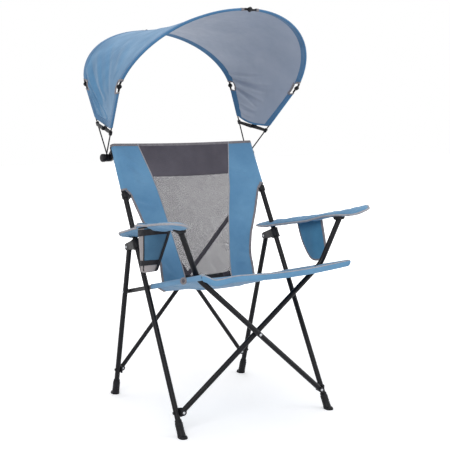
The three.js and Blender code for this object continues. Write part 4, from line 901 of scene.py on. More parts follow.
PIN_HALF = LEG_R + GAP * 3 + HUB_WALL
for side, hand in SIDES:
    axis = X_AXIS * side
    rivet(f"hub_pin_head_{hand}", f"hub_pin_{hand}", on_side(LEG_PIN, side), axis, -PIN_HALF, PIN_HALF)
    rivet(
        f"rail_rivet_head_{hand}", f"rail_rivet_{hand}", on_side(RAIL_PIVOT, side), axis,
        -(LEG_R + 2 * RAIL_R + 3 * GAP), LEG_R + GAP,
    )
for side, layer, hand in BRACES:
    for place, spot, normal, shift, radius in (
        ("front", FRONT_RIVET, FRONT_NORMAL, FRONT_SHIFT, LEG_R),
        ("rear", REAR_RIVET, REAR_NORMAL, REAR_SHIFT, REAR_BRACE_R),
    ):
        half = radius + 2 * GAP + CLEVIS_WALL
        centre = on_side(spot, side) + normal * layer * shift
        rivet(f"{place}_rivet_head_{hand}", f"{place}_rivet_{hand}", centre, normal, -half, half)
CROSS_Z = between(FRONT_RIVET_Z, BEND_Z, FRONT_RIVET[0] / (FRONT_RIVET[0] + BEND_X))
CROSS_HALF = FRONT_SHIFT + LEG_R + GAP
rivet(
    "front_cross_rivet_head", "front_cross_rivet", on_front_plane(0, CROSS_Z, 0), FRONT_NORMAL,
    -CROSS_HALF, CROSS_HALF, 5.4,
)
REAR_CROSS = (on_side(REAR_RIVET, 1) + on_side(REAR_TOP, 1)) / 2 * row(0, 1, 1)
for _, layer, hand in BRACES:
    face = REAR_SHIFT + REAR_BRACE_R + GAP
    head = [(0, face + 2.0), (2.1, face + 1.85), (3.8, face + 1.3), (4.9, face + 0.45), (5.0, face),
            (2.4, face), (2.4, BRACE_GAP), (0, BRACE_GAP)]
    piece = turned(f"rear_cross_rivet_head_{hand}", head, REAR_CROSS, REAR_NORMAL * layer, 24)
    instead_of(f"rear_cross_rivet_{hand}", piece, STEEL, "steel")

# Boots: a ribbed sleeve on the leg that flares to a toe on the floor
BOOT_PROFILE = [
    (0, -14), (14.6, -14), (14.8, 4), (14.1, 11), (13.6, 17), (13.6, 24), (13.0, 24.8), (13.0, 27.2),
    (13.6, 28), (13.6, 34), (13.0, 34.8), (13.0, 37.2), (13.6, 38), (13.5, 50.4), (12.6, 51.6),
    (12.1, 52.4), (12.0, 59.8), (11.2, 61), (9.8, 61), (9.8, 20), (0, 20),
]
TOE_PROFILE = [
    (0, -6), (14.6, -6), (15, 1), (14.9, 3.6), (13.6, 7.2), (11, 9.4), (0, 10.5),
]
TOE_AHEAD = 8.6
BOOT_SIDES = 40
for side, hand in SIDES:
    for place, foot, up, toe_sign in (
        ("front", TUBE_FOOT, TUBE_UP, -1), ("rear", REAR_FOOT, -LEG_DOWN, 1),
    ):
        node = f"{place}_boot_{hand}"
        base = on_side(foot, side)
        sleeve = turned(f"{node}_sleeve", BOOT_PROFILE, base, on_side(up, side), BOOT_SIDES)
        toe_centre = base + row(0, toe_sign * TOE_AHEAD, 0)
        toe = turned(f"{node}_toe", TOE_PROFILE, toe_centre, Z_AXIS, BOOT_SIDES)
        boot = joined(f"{node}_ribbed", sleeve, toe)
        edit_whole(boot)
        bpy.ops.mesh.bisect(
            plane_co=(0, 0, 0.0), plane_no=(0, 0, 1), use_fill=True, clear_inner=True
        )
        leave_edit()
        instead_of(node, smooth(boot), PLASTIC, "black_plastic")

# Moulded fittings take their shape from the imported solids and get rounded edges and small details
for side, hand in SIDES:
    for node in (f"front_clevis_{hand}", f"rear_clevis_{hand}", f"brace_clip_{hand}"):
        instead_of(node, cast_of(node, f"{node}_moulding", 0.9, 3), PLASTIC, "black_plastic")
HUB_RING = [
    (9.9, 0), (15.6, 0), (16.2, 0.5), (16.2, 2.0), (15.6, 2.5), (9.9, 2.5), (9.9, 0),
]
HUB_RING_HEIGHTS = (-17, 14.6)
HUB_CENTRE = TUBE_FOOT + TUBE_UP * ((LEG_PIN - TUBE_FOOT) @ TUBE_UP - 14)
for side, hand in SIDES:
    body = cast_of(f"hub_{hand}", f"hub_body_{hand}", 1.1, 3)
    rings = []
    for number, height in enumerate(HUB_RING_HEIGHTS):
        centre = on_side(HUB_CENTRE + TUBE_UP * height, side)
        rings.append(turned(f"hub_ring_{hand}_{number}", HUB_RING, centre, on_side(TUBE_UP, side)))
    whole = joined(f"hub_{hand}_moulding", body, *rings)
    instead_of(f"hub_{hand}", whole, PLASTIC, "black_plastic")

# Canopy hardware
CANOPY_HUB = (TUBE_TOP - TUBE_UP * 27.26 + TUBE_REAR * 43.1) * row(0, 1, 1)
DISC_THICK = 9.0
EYE_R = 9.0
EYE_THICK = 3.0
EYE_TAIL = 22.0
EYE_TAIL_WIDE = 7.4
EYE_PIN_R = 5.0
TOP_PIN_R = 8.4
WIRE_SHORT = EYE_R + 0.6
TOP_SHORT = 15.0
STRUT_START = 9.0
STRUT_SHARE = 0.16
CAP_X = 319.9


class Bow:
    """One hoop of the canopy, in its own plane through the hub axis."""

    def __init__(self, tilt, half, knee, rise, hem, disc_x):
        angle = math.radians(tilt)
        self.up = row(0, -math.cos(angle), math.sin(angle))
        self.normal = np.cross(X_AXIS, self.up)
        self.half, self.knee, self.rise = half, knee, rise
        self.hem, self.disc_x = hem, disc_x
        self.foot = disc_x + DISC_THICK / 2

    def at(self, across, up):
        across, up = np.asarray(across, float), np.asarray(up, float)
        point = CANOPY_HUB + up[..., None] * self.up
        point[..., 0] = across
        return point

    def edge(self, u, offset):
        """Points beside the wire, from the lower right corner over the top to the lower left one."""
        side = np.where(u < 0.5, -1.0, 1.0)
        share = np.minimum(u, 1 - u)
        up = between(self.hem, self.knee, share / STRUT_SHARE)
        reach = (up - STRUT_START) / (self.knee - STRUT_START)
        on_strut = self.at(side * (between(self.foot, self.half, reach) + offset), up)
        angle = np.clip((share - STRUT_SHARE) / (0.5 - STRUT_SHARE), 0, 1) * np.pi / 2
        across = side * (self.half + offset) * np.cos(angle)
        on_arc = self.at(across, self.knee + (self.rise + offset) * np.sin(angle))
        return np.where((share < STRUT_SHARE)[:, None], on_strut, on_arc)


FRONT_BOW = Bow(46.5, 372, 357, 358, 157, 310.6)
REAR_BOW = Bow(120, 322, 314, 246, 172, 301.3)
BOWS = (("front", FRONT_BOW), ("rear", REAR_BOW))


def eye_plate(name, bow, across, up, direction, layer):
    """A flat eye pressed on the end of a wire."""
    centre = bow.at(across, up) + bow.normal * layer * (EYE_THICK + GAP) / 2
    half = bow.normal * EYE_THICK / 2
    disc = solid_rod(f"{name}_disc", centre - half, centre + half, EYE_R, 28, 0.5)
    tail_centre = centre + direction * EYE_TAIL / 2
    sideways = np.cross(bow.normal, direction)
    place = (tail_centre, direction, sideways, bow.normal)
    tail = slab(f"{name}_tail", (EYE_TAIL, EYE_TAIL_WIDE, EYE_THICK), place, 0.7)
    return joined(name, disc, tail)


def eye_pin(name, centre, axis, head):
    low = [(0, -4.4), (2.0, -4.2), (head * 0.8, -3.7), (head, -2.9), (head, -2.4), (2.3, -2.4)]
    high = [(2.3, 3.6), (head, 3.6), (head, 4.1), (head * 0.8, 5.1), (2.0, 5.6), (0, 5.7)]
    return turned(name, low + high, centre, axis, 24)


DISC_PROFILE = [
    (5.4, 0), (13, 0), (14, 0.9), (14, 3.4), (13.2, 3.9), (13.2, 5.1), (14, 5.6), (14, 8.1), (13, 9),
    (5.4, 9), (5.4, 0),
]
CAP_PROFILE = [
    (0, 0), (15, 0), (15, 1.2), (14.6, 1.6), (14.6, 3), (15, 3.4), (15, 8.6), (14.2, 11), (12.4, 12.6),
    (10.4, 13), (9.6, 12.2), (4, 11.8), (3.4, 12.6), (0, 12.8),
]
for side, hand in SIDES:
    outward = X_AXIS * side
    for place, bow in BOWS:
        node = f"{place}_strut_{hand}"
        disc = turned(f"{node}_disc", DISC_PROFILE, CANOPY_HUB + outward * bow.disc_x, outward)
        foot = bow.at(side * bow.foot, STRUT_START)
        knee = bow.at(side * bow.half, bow.knee)
        along = unit(knee - foot)
        wire = swept(f"{node}_wire", [foot, knee - along * WIRE_SHORT], WIRE_R, 5)
        eye = eye_plate(f"{node}_eye", bow, side * bow.half, bow.knee, -along, -side)
        pin = eye_pin(f"{node}_pin", knee, side * bow.normal, EYE_PIN_R)
        whole = joined(f"{node}_bent", disc, wire, eye, pin)
        instead_of(node, smooth(whole), FRAME_BLACK, "frame_paint")

        node = f"{place}_arc_{hand}"
        first = math.asin(WIRE_SHORT / bow.rise)
        angles = np.linspace(first, math.pi / 2 - TOP_SHORT / bow.half, 40)
        line = bow.at(side * bow.half * np.cos(angles), bow.knee + bow.rise * np.sin(angles))
        wire = swept(f"{node}_wire", list(line), WIRE_R, 5)
        low = eye_plate(f"{node}_low_eye", bow, side * bow.half, bow.knee, bow.up, side)
        high = eye_plate(f"{node}_high_eye", bow, 0, bow.knee + bow.rise, outward, side)
        parts = [wire, low, high]
        if side > 0:
            top = bow.at(0, bow.knee + bow.rise)
            parts.append(eye_pin(f"{node}_pin", top, -bow.normal, TOP_PIN_R))
        whole = joined(f"{node}_bent", *parts)
        instead_of(node, smooth(whole), FRAME_BLACK, "frame_paint")
    for node in (f"canopy_bracket_{hand}", f"front_link_{hand}", f"rear_link_{hand}"):
        instead_of(node, cast_of(node, f"{node}_moulding", 0.6), PLASTIC, "black_plastic")
    cap = turned(f"hub_cap_{hand}_moulding", CAP_PROFILE, CANOPY_HUB + outward * CAP_X, outward, 40)
    instead_of(f"hub_cap_{hand}", cap, PLASTIC, "black_plastic")


# Cloth measures
FLAT = {}
UV_SPREAD = 1000
SLING_THICK = 1.2
MESH_THICK = 0.4
POUCH_THICK = 1.3


def hang(piece, trims):
    """Goes once through a sheet's trims and does nothing more; the sheet is not used."""
    list(trims)


def hang_all(sheets, lead, trims):
    for sheet in sheets:
        hang(sheet, trims.pieces if sheet is lead else ())


def drop_faces(piece, inside):
    """Deletes the faces of a panel whose place in its UV map the test accepts."""
    mesh = piece.data
    uvs = mesh.uv_layers[0].data

    def gone(face):
        places = [uvs[loop].uv for loop in face.loop_indices]
        return inside(
            sum(place.x for place in places) / len(places) / MM,
            sum(place.y for place in places) / len(places) / MM,
        )

    pick_faces(piece, gone)
    bpy.ops.mesh.delete(type="FACE")
    leave_edit()


def measured(piece, points, columns):
    """Keeps the flat size that a panel was cut to: its longest row, its longest column and its area."""
    grid = points.reshape(-1, columns, 3)
    width = np.linalg.norm(np.diff(grid, axis=1), axis=2).sum(axis=1).max()
    length = np.linalg.norm(np.diff(grid, axis=0), axis=2).sum(axis=0).max()
    area = sum(face.area for face in piece.data.polygons)
    FLAT[piece.name] = (float(width), float(length), float(min(area, width * length)))


def cloth(name, surface, across, along, uv_at, thickness, holes=(), sides=()):
    """A measured panel of cloth with its thickness; holes are tests on (s, t) shares.
    Sides are the materials of its outside and its inside, where these differ."""
    piece = cloth_panel(name, surface, across, along, uv_at, (UV_SPREAD, UV_SPREAD))
    for material in sides:
        piece.data.materials.append(material)
    points = corners_of(piece)
    for hole in holes:
        drop_faces(piece, lambda s, t: hole(s / UV_SPREAD, t / UV_SPREAD))
    measured(piece, points, len(across))
    width, length, _ = FLAT[name]
    layer = piece.data.uv_layers[0].data
    spots = np.zeros(len(layer) * 2)
    layer.foreach_get("uv", spots)
    spots = spots.reshape(-1, 2) * (width, length)
    layer.foreach_set("uv", spots.ravel())
    return smooth(thicken(piece, thickness, 1 if sides else 0), CLOTH_ANGLE)


def squashed(pieces):
    """Gives each piece of cloth its own copy of its mesh."""
    for piece in pieces:
        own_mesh(piece)


# Canopy: one coated cloth over both bows
CANOPY_SINK = 16.0
CANOPY_PULL = 0.6
WIRE_OFFSET = 3.6
CANOPY_FLAT = (1580, 790)
NOTCH_LOW = 0.021
NOTCH_HIGH = 0.0145
KNEE_DEPTH = 0.07
TOP_DEPTH = 0.036

CANOPY_FOLDS = [
    # outside of the right wing: tension folds towards the lower rear corner
    (0.36, 0.62, 0.20, 0.22, 26, 5.0), (0.33, 0.80, 0.14, 0.28, 20, -6.0),
    (0.30, 0.90, 0.11, 0.42, 22, 6.5), (0.265, 0.95, 0.09, 0.52, 18, -6.0),
    (0.235, 0.98, 0.075, 0.60, 16, 5.0), (0.205, 0.98, 0.06, 0.66, 14, -4.5),
    (0.165, 0.97, 0.035, 0.40, 13, 5.0), (0.15, 0.93, 0.02, 0.30, 12, -4.5),
    (0.40, 0.45, 0.27, 0.10, 24, -3.5), (0.44, 0.62, 0.36, 0.30, 30, 3.0),
    (0.13, 0.98, 0.015, 0.62, 10, 3.0),
    # inside of the left wing: a fan from the rear knuckle, and ripples above the lower edge
    (0.79, 0.99, 0.795, 0.45, 13, -6.0), (0.805, 0.99, 0.825, 0.36, 13, 6.5),
    (0.82, 0.98, 0.85, 0.40, 12, -6.0), (0.84, 0.97, 0.895, 0.38, 12, 6.0),
    (0.85, 0.95, 0.925, 0.44, 11, -5.0), (0.925, 0.90, 0.945, 0.44, 9, 4.0),
    (0.95, 0.92, 0.957, 0.40, 8, -3.5), (0.972, 0.90, 0.974, 0.46, 8, 3.5),
    (0.76, 0.95, 0.73, 0.40, 28, 4.0), (0.70, 0.92, 0.67, 0.25, 30, -4.5),
    (0.64, 0.88, 0.60, 0.20, 32, 4.0), (0.58, 0.80, 0.56, 0.25, 30, -3.0),
]


def canopy_plain(u, v):
    front = FRONT_BOW.edge(u, WIRE_OFFSET)
    rear = REAR_BOW.edge(u, WIRE_OFFSET)
    point = between(front, rear, v[:, None])
    inward = CANOPY_HUB - point
    inward[:, 0] = -point[:, 0] * CANOPY_PULL
    inward /= np.linalg.norm(inward, axis=1, keepdims=True)
    return point + inward * (CANOPY_SINK * np.sin(np.pi * v))[:, None]


canopy_folds = creases(CANOPY_FOLDS, CANOPY_FLAT)


def canopy(u, v):
    calm = np.clip(np.sin(np.pi * v) * 3, 0, 1)
    return lifted(canopy_plain, u, v, canopy_folds(u, v) * calm)


half_breaks = [0, STRUT_SHARE - NOTCH_LOW, STRUT_SHARE, STRUT_SHARE + NOTCH_HIGH, 0.5 - NOTCH_HIGH, 0.5]
u_breaks = half_breaks + [1 - place for place in half_breaks[-2::-1]]
v_breaks = [0, TOP_DEPTH, KNEE_DEPTH, 1 - KNEE_DEPTH, 1 - TOP_DEPTH, 1]
canopy_across = stations(u_breaks, 210)
canopy_along = stations(v_breaks, 90)
NOTCHES = (
    (STRUT_SHARE - NOTCH_LOW, STRUT_SHARE + NOTCH_HIGH, KNEE_DEPTH),
    (1 - STRUT_SHARE - NOTCH_HIGH, 1 - STRUT_SHARE + NOTCH_LOW, KNEE_DEPTH),
    (0.5 - NOTCH_HIGH, 0.5 + NOTCH_HIGH, TOP_DEPTH),
)


def in_notch(u, v):
    return any(low < u < high and min(v, 1 - v) < depth for low, high, depth in NOTCHES)


CANOPY_THICK = 0.9
canopy_cover = cloth(
    "canopy_cover", canopy, canopy_across, canopy_along, same_uv, CANOPY_THICK, [in_notch],
    (CANOPY_OUT, CANOPY_IN),
)
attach(canopy_cover, NODE_BODY["canopy_cloth"])
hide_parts("canopy_cloth")

SLEEVE_SECTION = [
    (29, 4.4), (27, 4.9), (18, 4.8), (10, 4.8), (3, 4.7), (-1.5, 4.3), (-3.9, 2.3), (-4.6, 0),
    (-3.9, -2.4), (-1.5, -4.2), (2.5, -4.0), (9, -1.4), (17, 0.9), (27, 2.2), (29, 2.8),
]
SLEEVE_MIDDLE = (12, 1)
SLEEVE_RIM = 1740
SLEEVE_GIRTH = 68
SLEEVE_ANGLE = math.radians(50)


def hem_sleeve(name, bow, start, end, material, grow, count):
    """The sewn tunnel that holds the wire along one edge of the canopy; grow makes it thicker."""
    edge_v, inner_v = (0.0, 0.03) if bow is FRONT_BOW else (1.0, 0.97)
    section = [
        tuple(value + grow * np.sign(value - middle) for value, middle in zip(point, SLEEVE_MIDDLE))
        for point in SLEEVE_SECTION
    ]
    section.append(section[0])
    across, height = (np.array(values) for values in zip(*section))

    def surface(s, t):
        u = between(start, end, s)
        wire = bow.edge(u, 0.0)
        edge = np.full(len(u), edge_v)
        inward = canopy_plain(u, np.full(len(u), inner_v)) - canopy_plain(u, edge)
        inward /= np.linalg.norm(inward, axis=1, keepdims=True)
        normal = lifted(canopy_plain, u, edge, 1.0) - canopy_plain(u, edge)
        place = t * (len(section) - 1)
        a = np.interp(place, np.arange(len(section)), across)
        b = np.interp(place, np.arange(len(section)), height)
        return wire + inward * a[:, None] + normal * b[:, None]

    piece = cloth_panel(
        name, surface, np.linspace(0, 1, count + 1), np.linspace(0, 1, len(section)), same_uv,
        (SLEEVE_RIM * (end - start), SLEEVE_GIRTH),
    )
    close_ends(clean_up(piece, FINE_MERGE / 2))
    return canopy_trims.add(smooth(piece, SLEEVE_ANGLE), material)


canopy_trims = Trims(canopy, "canopy_fabric", "canopy_cloth")
CUFF = 0.006
CUFF_GROW = 0.7
HEM_SPANS = (
    ("lower_right", 0, STRUT_SHARE - NOTCH_LOW, 8, (1,)),
    ("right", STRUT_SHARE + NOTCH_HIGH, 0.5 - NOTCH_HIGH, 30, (0, 1)),
    ("left", 0.5 + NOTCH_HIGH, 1 - STRUT_SHARE - NOTCH_HIGH, 30, (0, 1)),
    ("lower_left", 1 - STRUT_SHARE + NOTCH_LOW, 1, 8, (0,)),
)
for place, bow in BOWS:
    for hand, start, end, count, ends in HEM_SPANS:
        name = f"canopy_hem_{place}_{hand}"
        hem_sleeve(name, bow, start, end, HEM_BLUE, 0.0, count)
        for number in ends:
            low = end - CUFF if number else start
            hem_sleeve(f"{name}_cuff_{number}", bow, low, low + CUFF, BINDING, CUFF_GROW, 2)
    for number, (low, high, depth) in enumerate(NOTCHES):
        v = depth if bow is FRONT_BOW else 1 - depth
        line = [(u, v) for u in np.linspace(low - 0.003, high + 0.003, 12)]
        canopy_trims.tape(f"notch_tape_{place}_{number}", line, BOUND, BINDING)
for hand, edge_u, low, high in (("right", 0.0, 0.0, 0.024), ("left", 1.0, 0.976, 1.0)):
    band = cloth_panel(
        f"canopy_corner_band_{hand}", canopy, np.linspace(0, 1, 7), np.linspace(0.06, 0.94, 40),
        lambda s, t, a=low, b=high: (between(a, b, s), t), (30, 180), CANOPY_THICK,
    )
    thicken(band, 1.2)
    smooth(band, CLOTH_ANGLE)
    canopy_trims.add(band, HEM_BLUE)
    line = [(edge_u, v) for v in np.linspace(0.05, 0.95, 40)]
    canopy_trims.tape(f"canopy_lower_binding_{hand}", line, CUFFED, HEM_BLUE)
hang(canopy_cover, canopy_trims.pieces)
squashed([canopy_cover, *canopy_trims.pieces])


# Backrest: two blue side panels, a charcoal band and a mesh panel, sewn into one sling
BACK_R = 10.7
BACK_WRAP = math.radians(-70)
BACK_TOP_Z = TOP_Z + 3
BACK_NOTCH_Z = BACK_TOP_Z - 164
BACK_LOW_Y = 60 - MIDDLE_Y
BACK_LOW_Z = 459.0
BACK_SAG = 26.0
BACK_TOP_SAG = 8.0
BACK_LOW_SAG = 22.0
BACK_BELLY = 7.0
WRAP_SHARE = 0.16
SLEEVE_V = 0.36
EDGE_Z = [460, 499, 522, 557, 610, 660, 680, 720, 755, 768, 778, 789]
EDGE_X = [198, 198, 196, 200, 214, 236, 245, 260, 272, 277, 283, 295.7]
SEAM_Z = [459, 490, 520, 600, 700, 840, 953]
SEAM_X = [101, 100, 103, 117, 136, 167, 199]
BAND_Z = 842.0


def back_height(v):
    upper = BACK_TOP_Z + (BACK_NOTCH_Z - BACK_TOP_Z) * v / SLEEVE_V
    lower = BACK_NOTCH_Z + (BACK_LOW_Z - BACK_NOTCH_Z) * (v - SLEEVE_V) / (1 - SLEEVE_V)
    return np.where(v < SLEEVE_V, upper, lower)


def back_row(z):
    """The inverse of back_height."""
    upper = (BACK_TOP_Z - z) / (BACK_TOP_Z - BACK_NOTCH_Z) * SLEEVE_V
    lower = SLEEVE_V + (BACK_NOTCH_Z - z) / (BACK_NOTCH_Z - BACK_LOW_Z) * (1 - SLEEVE_V)
    return np.where(z > BACK_NOTCH_Z, upper, lower)


def half_width(z):
    return np.where(z > BACK_NOTCH_Z, tube_at(z)[:, 0], np.interp(z, EDGE_Z, EDGE_X))


def across_sling(u):
    """The share from the nearer edge, the share from the tube to the middle, and how far it hangs."""
    share = np.minimum(u, 1 - u)
    inward = np.clip((share - WRAP_SHARE) / (0.5 - WRAP_SHARE), 0, 1)
    return share, inward, np.sin(inward * np.pi / 2)


FREE_FROM = 0.1
FREE_OVER = 0.08


def folded(plain, folds):
    """A sling's middle surface with its folds; they die out on the tubes."""

    def surface(u, v):
        free = np.clip((np.minimum(u, 1 - u) - FREE_FROM) / FREE_OVER, 0, 1)
        return lifted(plain, u, v, folds(u, v) * free)

    return surface


def back_plain(u, v):
    """Runs from the sitter's left to the right, and from the top edge down."""
    side = np.where(u < 0.5, 1.0, -1.0)
    share, inward, hang_share = across_sling(u)
    z = back_height(v)
    centre = tube_at(np.maximum(z, BACK_NOTCH_Z))
    upper = np.clip(v / SLEEVE_V, 0, 1)
    sag = between(BACK_TOP_SAG, BACK_SAG, upper) * hang_share
    angle = between(BACK_WRAP, math.pi / 2, np.clip(share / WRAP_SHARE, 0, 1))
    point = centre - TUBE_REAR * (BACK_R * np.sin(angle) - sag)[:, None]
    t = np.clip((v - SLEEVE_V) / (1 - SLEEVE_V), 0, 1)
    belly = BACK_BELLY * np.sin(np.pi * t) * hang_share
    point[:, 1] = between(point[:, 1], BACK_LOW_Y, t) + belly
    point[:, 2] = between(point[:, 2], BACK_LOW_Z - BACK_LOW_SAG * hang_share, t)
    on_tube = BACK_R * np.cos(angle) * (share < WRAP_SHARE)
    point[:, 0] = side * (half_width(z) + on_tube) * (1 - inward)
    return point


def back_place(x, z):
    """The (u, v) of a point that lies x across and at a height on the backrest."""
    z = np.atleast_1d(float(z))
    inward = 1 - abs(x) / half_width(z)[0]
    share = WRAP_SHARE + (0.5 - WRAP_SHARE) * inward
    return (share if x >= 0 else 1 - share), float(back_row(z)[0])


def seam_u(v):
    z = back_height(v)
    inward = 1 - np.interp(z, SEAM_Z, SEAM_X) / half_width(z)
    return WRAP_SHARE + (0.5 - WRAP_SHARE) * inward


BACK_FLAT = (640, 500)
BACK_FOLDS = [
    # (x, z, x, z, width, depth) across the front, with the sitter's right at -x
    (-270, 762, -196, 742, 11, -6.0), (-262, 742, -176, 728, 10, 3.5), (-276, 930, -238, 800, 17, 3.0),
    (-262, 880, -190, 838, 11, -3.6), (-284, 912, -205, 872, 13, 2.4), (-250, 700, -190, 640, 15, -3.0),
    (-226, 640, -160, 560, 16, 2.6), (-205, 560, -150, 500, 13, -2.6), (-190, 520, -130, 470, 10, 2.4),
    (-240, 826, -170, 812, 10, -2.2),
    (196, 836, 268, 812, 9, -3.4), (176, 850, 240, 834, 9, 1.8), (276, 925, 232, 840, 15, 2.4),
    (190, 708, 262, 726, 10, -2.6), (150, 690, 205, 664, 11, -2.0), (230, 650, 168, 580, 14, 2.4),
    (145, 556, 196, 532, 10, -3.6), (128, 520, 186, 500, 9, 2.6), (140, 600, 200, 610, 12, 1.8),
    (-101, 762, -28, 732, 12, -3.4), (-28, 732, 3, 694, 11, -3.6), (3, 694, 83, 690, 12, -3.6),
    (83, 690, 122, 708, 10, -3.0), (-60, 750, 20, 716, 16, 3.0), (30, 706, 110, 704, 12, 2.4),
    (46, 673, 83, 613, 10, -3.4), (83, 613, 112, 564, 9, -3.4), (60, 640, 100, 596, 12, 2.6),
    (-90, 700, -40, 640, 22, -2.0), (-60, 620, 0, 560, 22, 2.0), (-20, 660, 40, 600, 18, -2.0),
    (56, 556, 88, 500, 9, -2.6), (88, 500, 99, 466, 8, -2.4), (44, 506, 94, 464, 8, -2.6),
    (66, 520, 97, 488, 9, 2.0), (20, 540, 70, 480, 12, 2.0), (-80, 520, -20, 470, 14, 2.0),
    (-120, 900, 110, 880, 26, 1.6), (-60, 860, 120, 872, 22, -1.4),
]
back_lines = [
    (*back_place(x0, z0), *back_place(x1, z1), width, depth)
    for x0, z0, x1, z1, width, depth in BACK_FOLDS
]
back = folded(back_plain, creases(back_lines, BACK_FLAT))
SLEEVE_S = 0.34
EDGE_IN = 0.004


def left_panel(s, t):
    seam = seam_u(t)
    wrapped = WRAP_SHARE * s / SLEEVE_S
    flat = WRAP_SHARE + (seam - WRAP_SHARE) * (s - SLEEVE_S) / (1 - SLEEVE_S)
    return np.where(s < SLEEVE_S, wrapped, flat), t


def right_panel(s, t):
    u, v = left_panel(1 - s, t)
    return 1 - u, v


def seam_at(v):
    return float(seam_u(row(v))[0])


BAND_V = float(back_row(row(BAND_Z))[0])
side_rows = stations([0, BAND_V, SLEEVE_V, 1], 110)
side_columns = stations([0, SLEEVE_S, 1], 46)
BACK_BODY = NODE_BODY["backrest"]
back_trims = Trims(back, "blue_fabric", "backrest")
mesh_trims = Trims(back, "grey_mesh", "backrest")
back_sheets = []
for hand, place in (("left", left_panel), ("right", right_panel)):
    def below_sleeve(s, t, mirrored=hand == "right"):
        return t > SLEEVE_V and (1 - s if mirrored else s) < SLEEVE_S

    across = side_columns if hand == "left" else 1 - side_columns[::-1]
    panel = cloth(
        f"back_side_panel_{hand}", back, across, side_rows, place, SLING_THICK, [below_sleeve]
    )
    finish_as(panel, BLUE, "blue_fabric", BACK_BODY)
    back_sheets.append(panel)
    seam_v = np.linspace(EDGE_IN, 1 - EDGE_IN, 120)
    at = (lambda u: u) if hand == "left" else (lambda u: 1 - u)
    seam = [(at(u), v) for u, v in zip(seam_u(seam_v), seam_v)]
    back_trims.cord(f"back_piping_{hand}", seam, 1.9, 1.1, PIPING)
    edge = [(at(WRAP_SHARE + EDGE_IN), v) for v in np.linspace(SLEEVE_V + 0.002, 1, 90)]
    back_trims.tape(f"back_edge_binding_{hand}", edge, BOUND, BINDING)
    mouth = [(at(u), SLEEVE_V - 0.006) for u in np.linspace(EDGE_IN, WRAP_SHARE + 0.01, 30)]
    back_trims.tape(f"back_sleeve_binding_{hand}", mouth, CUFFED, BINDING)


def middle_of(low, high):
    """The backrest between its two seams, from one row to another."""

    def place(s, t):
        v = between(low, high, t)
        seam = seam_u(v)
        return between(seam, 1 - seam, s), v

    return place


BAND_LAP = 0.012
BAND_THICK = 1.3
middle_columns = np.linspace(0, 1, 71)
band = cloth(
    "back_charcoal_band", back, middle_columns, np.linspace(0, 1, 33), middle_of(0, BAND_V + BAND_LAP),
    BAND_THICK,
)
finish_as(band, CHARCOAL, "grey_mesh", BACK_BODY)
mesh_panel = cloth(
    "back_mesh_panel", back, middle_columns, np.linspace(0, 1, 111), middle_of(BAND_V, 1), MESH_THICK,
)
finish_as(mesh_panel, MESH_GREY, "grey_mesh", BACK_BODY, "backrest")
back_sheets += [band, mesh_panel]
top_line = [(u, 0.010) for u in np.linspace(0.0, 1.0, 160)]
mesh_trims.tape("back_top_hem", top_line, (10, 0, 3.0), BINDING)
LOW_HEM_V = 0.966
low_start = seam_at(LOW_HEM_V) + EDGE_IN
low_line = [(u, LOW_HEM_V) for u in np.linspace(low_start, 1 - low_start, 90)]
# The wide black tape along the mesh's lower edge is partly real webbing and partly painted shade for the
# shadowed gap above the seat
mesh_trims.tape("back_lower_webbing", low_line, (34, -0.9, 2.4), BLACK_WEBBING_AND_SHADE)
lap = [(u, BAND_V + EDGE_IN) for u in np.linspace(seam_at(BAND_V) + EDGE_IN, 0.5, 40)]
lap += [(1 - u, v) for u, v in lap[-2::-1]]
mesh_trims.cord("band_lower_stitching", lap, 0.8, 1.2, CHARCOAL, resolution=2)
back_trims.pieces += mesh_trims.pieces
hang_all(back_sheets, mesh_panel, back_trims)
squashed([*back_sheets, *back_trims.pieces])


# Seat: a sling with a sleeve on each rail, a banded front edge and openings for the front braces
SEAT_R = 9.3
SEAT_WRAP = math.radians(-60)
SEAT_FRONT_SAG = 17.0
SEAT_DIP = 15.0
DIP_U = 0.205
DIP_WIDE = 0.07
SEAT_SAG = 42.0
SEAT_SLEEVE_END_Y = -20 - MIDDLE_Y
SEAT_REAR_Y = 58 - MIDDLE_Y
SEAT_REAR_HALF = 192.0
SEAT_REAR_Z = 428.0
SEAT_SLEEVE_V = 0.84
SEAT_BODY = NODE_BODY["seat_sling"]


def seat_plain(u, v):
    """Runs from the sitter's right to the left, and from the front edge to the rear one."""
    side = np.where(u < 0.5, -1.0, 1.0)
    share, inward, hang_share = across_sling(u)
    along = np.clip(v / SEAT_SLEEVE_V, 0, 1)
    y = between(RAIL_TIP[1], SEAT_SLEEVE_END_Y, along)
    on_rail = (y - RAIL_START[1]) / (RAIL_TIP[1] - RAIL_START[1])
    centre = between(RAIL_START, RAIL_TIP, on_rail[:, None])
    sag = between(SEAT_FRONT_SAG, SEAT_SAG, np.sin(along * np.pi / 2)) * hang_share
    dip = np.exp(-(((u - DIP_U) / DIP_WIDE) ** 2)) * (1 - along) ** 4
    sag += SEAT_DIP * dip * np.clip(inward * 8, 0, 1)
    angle = between(SEAT_WRAP, math.pi / 2, np.clip(share / WRAP_SHARE, 0, 1))
    point = centre + RAIL_UP * (SEAT_R * np.sin(angle) - sag)[:, None]
    around = SEAT_R * np.cos(angle) * (share < WRAP_SHARE)
    point[:, 0] = side * (centre[:, 0] + around) * (1 - inward)
    tail = np.clip((v - SEAT_SLEEVE_V) / (1 - SEAT_SLEEVE_V), 0, 1)
    end = np.tile(row(0, SEAT_REAR_Y, SEAT_REAR_Z), (len(u), 1))
    end[:, 0] = side * SEAT_REAR_HALF * (1 - inward)
    return between(point, end, tail[:, None])


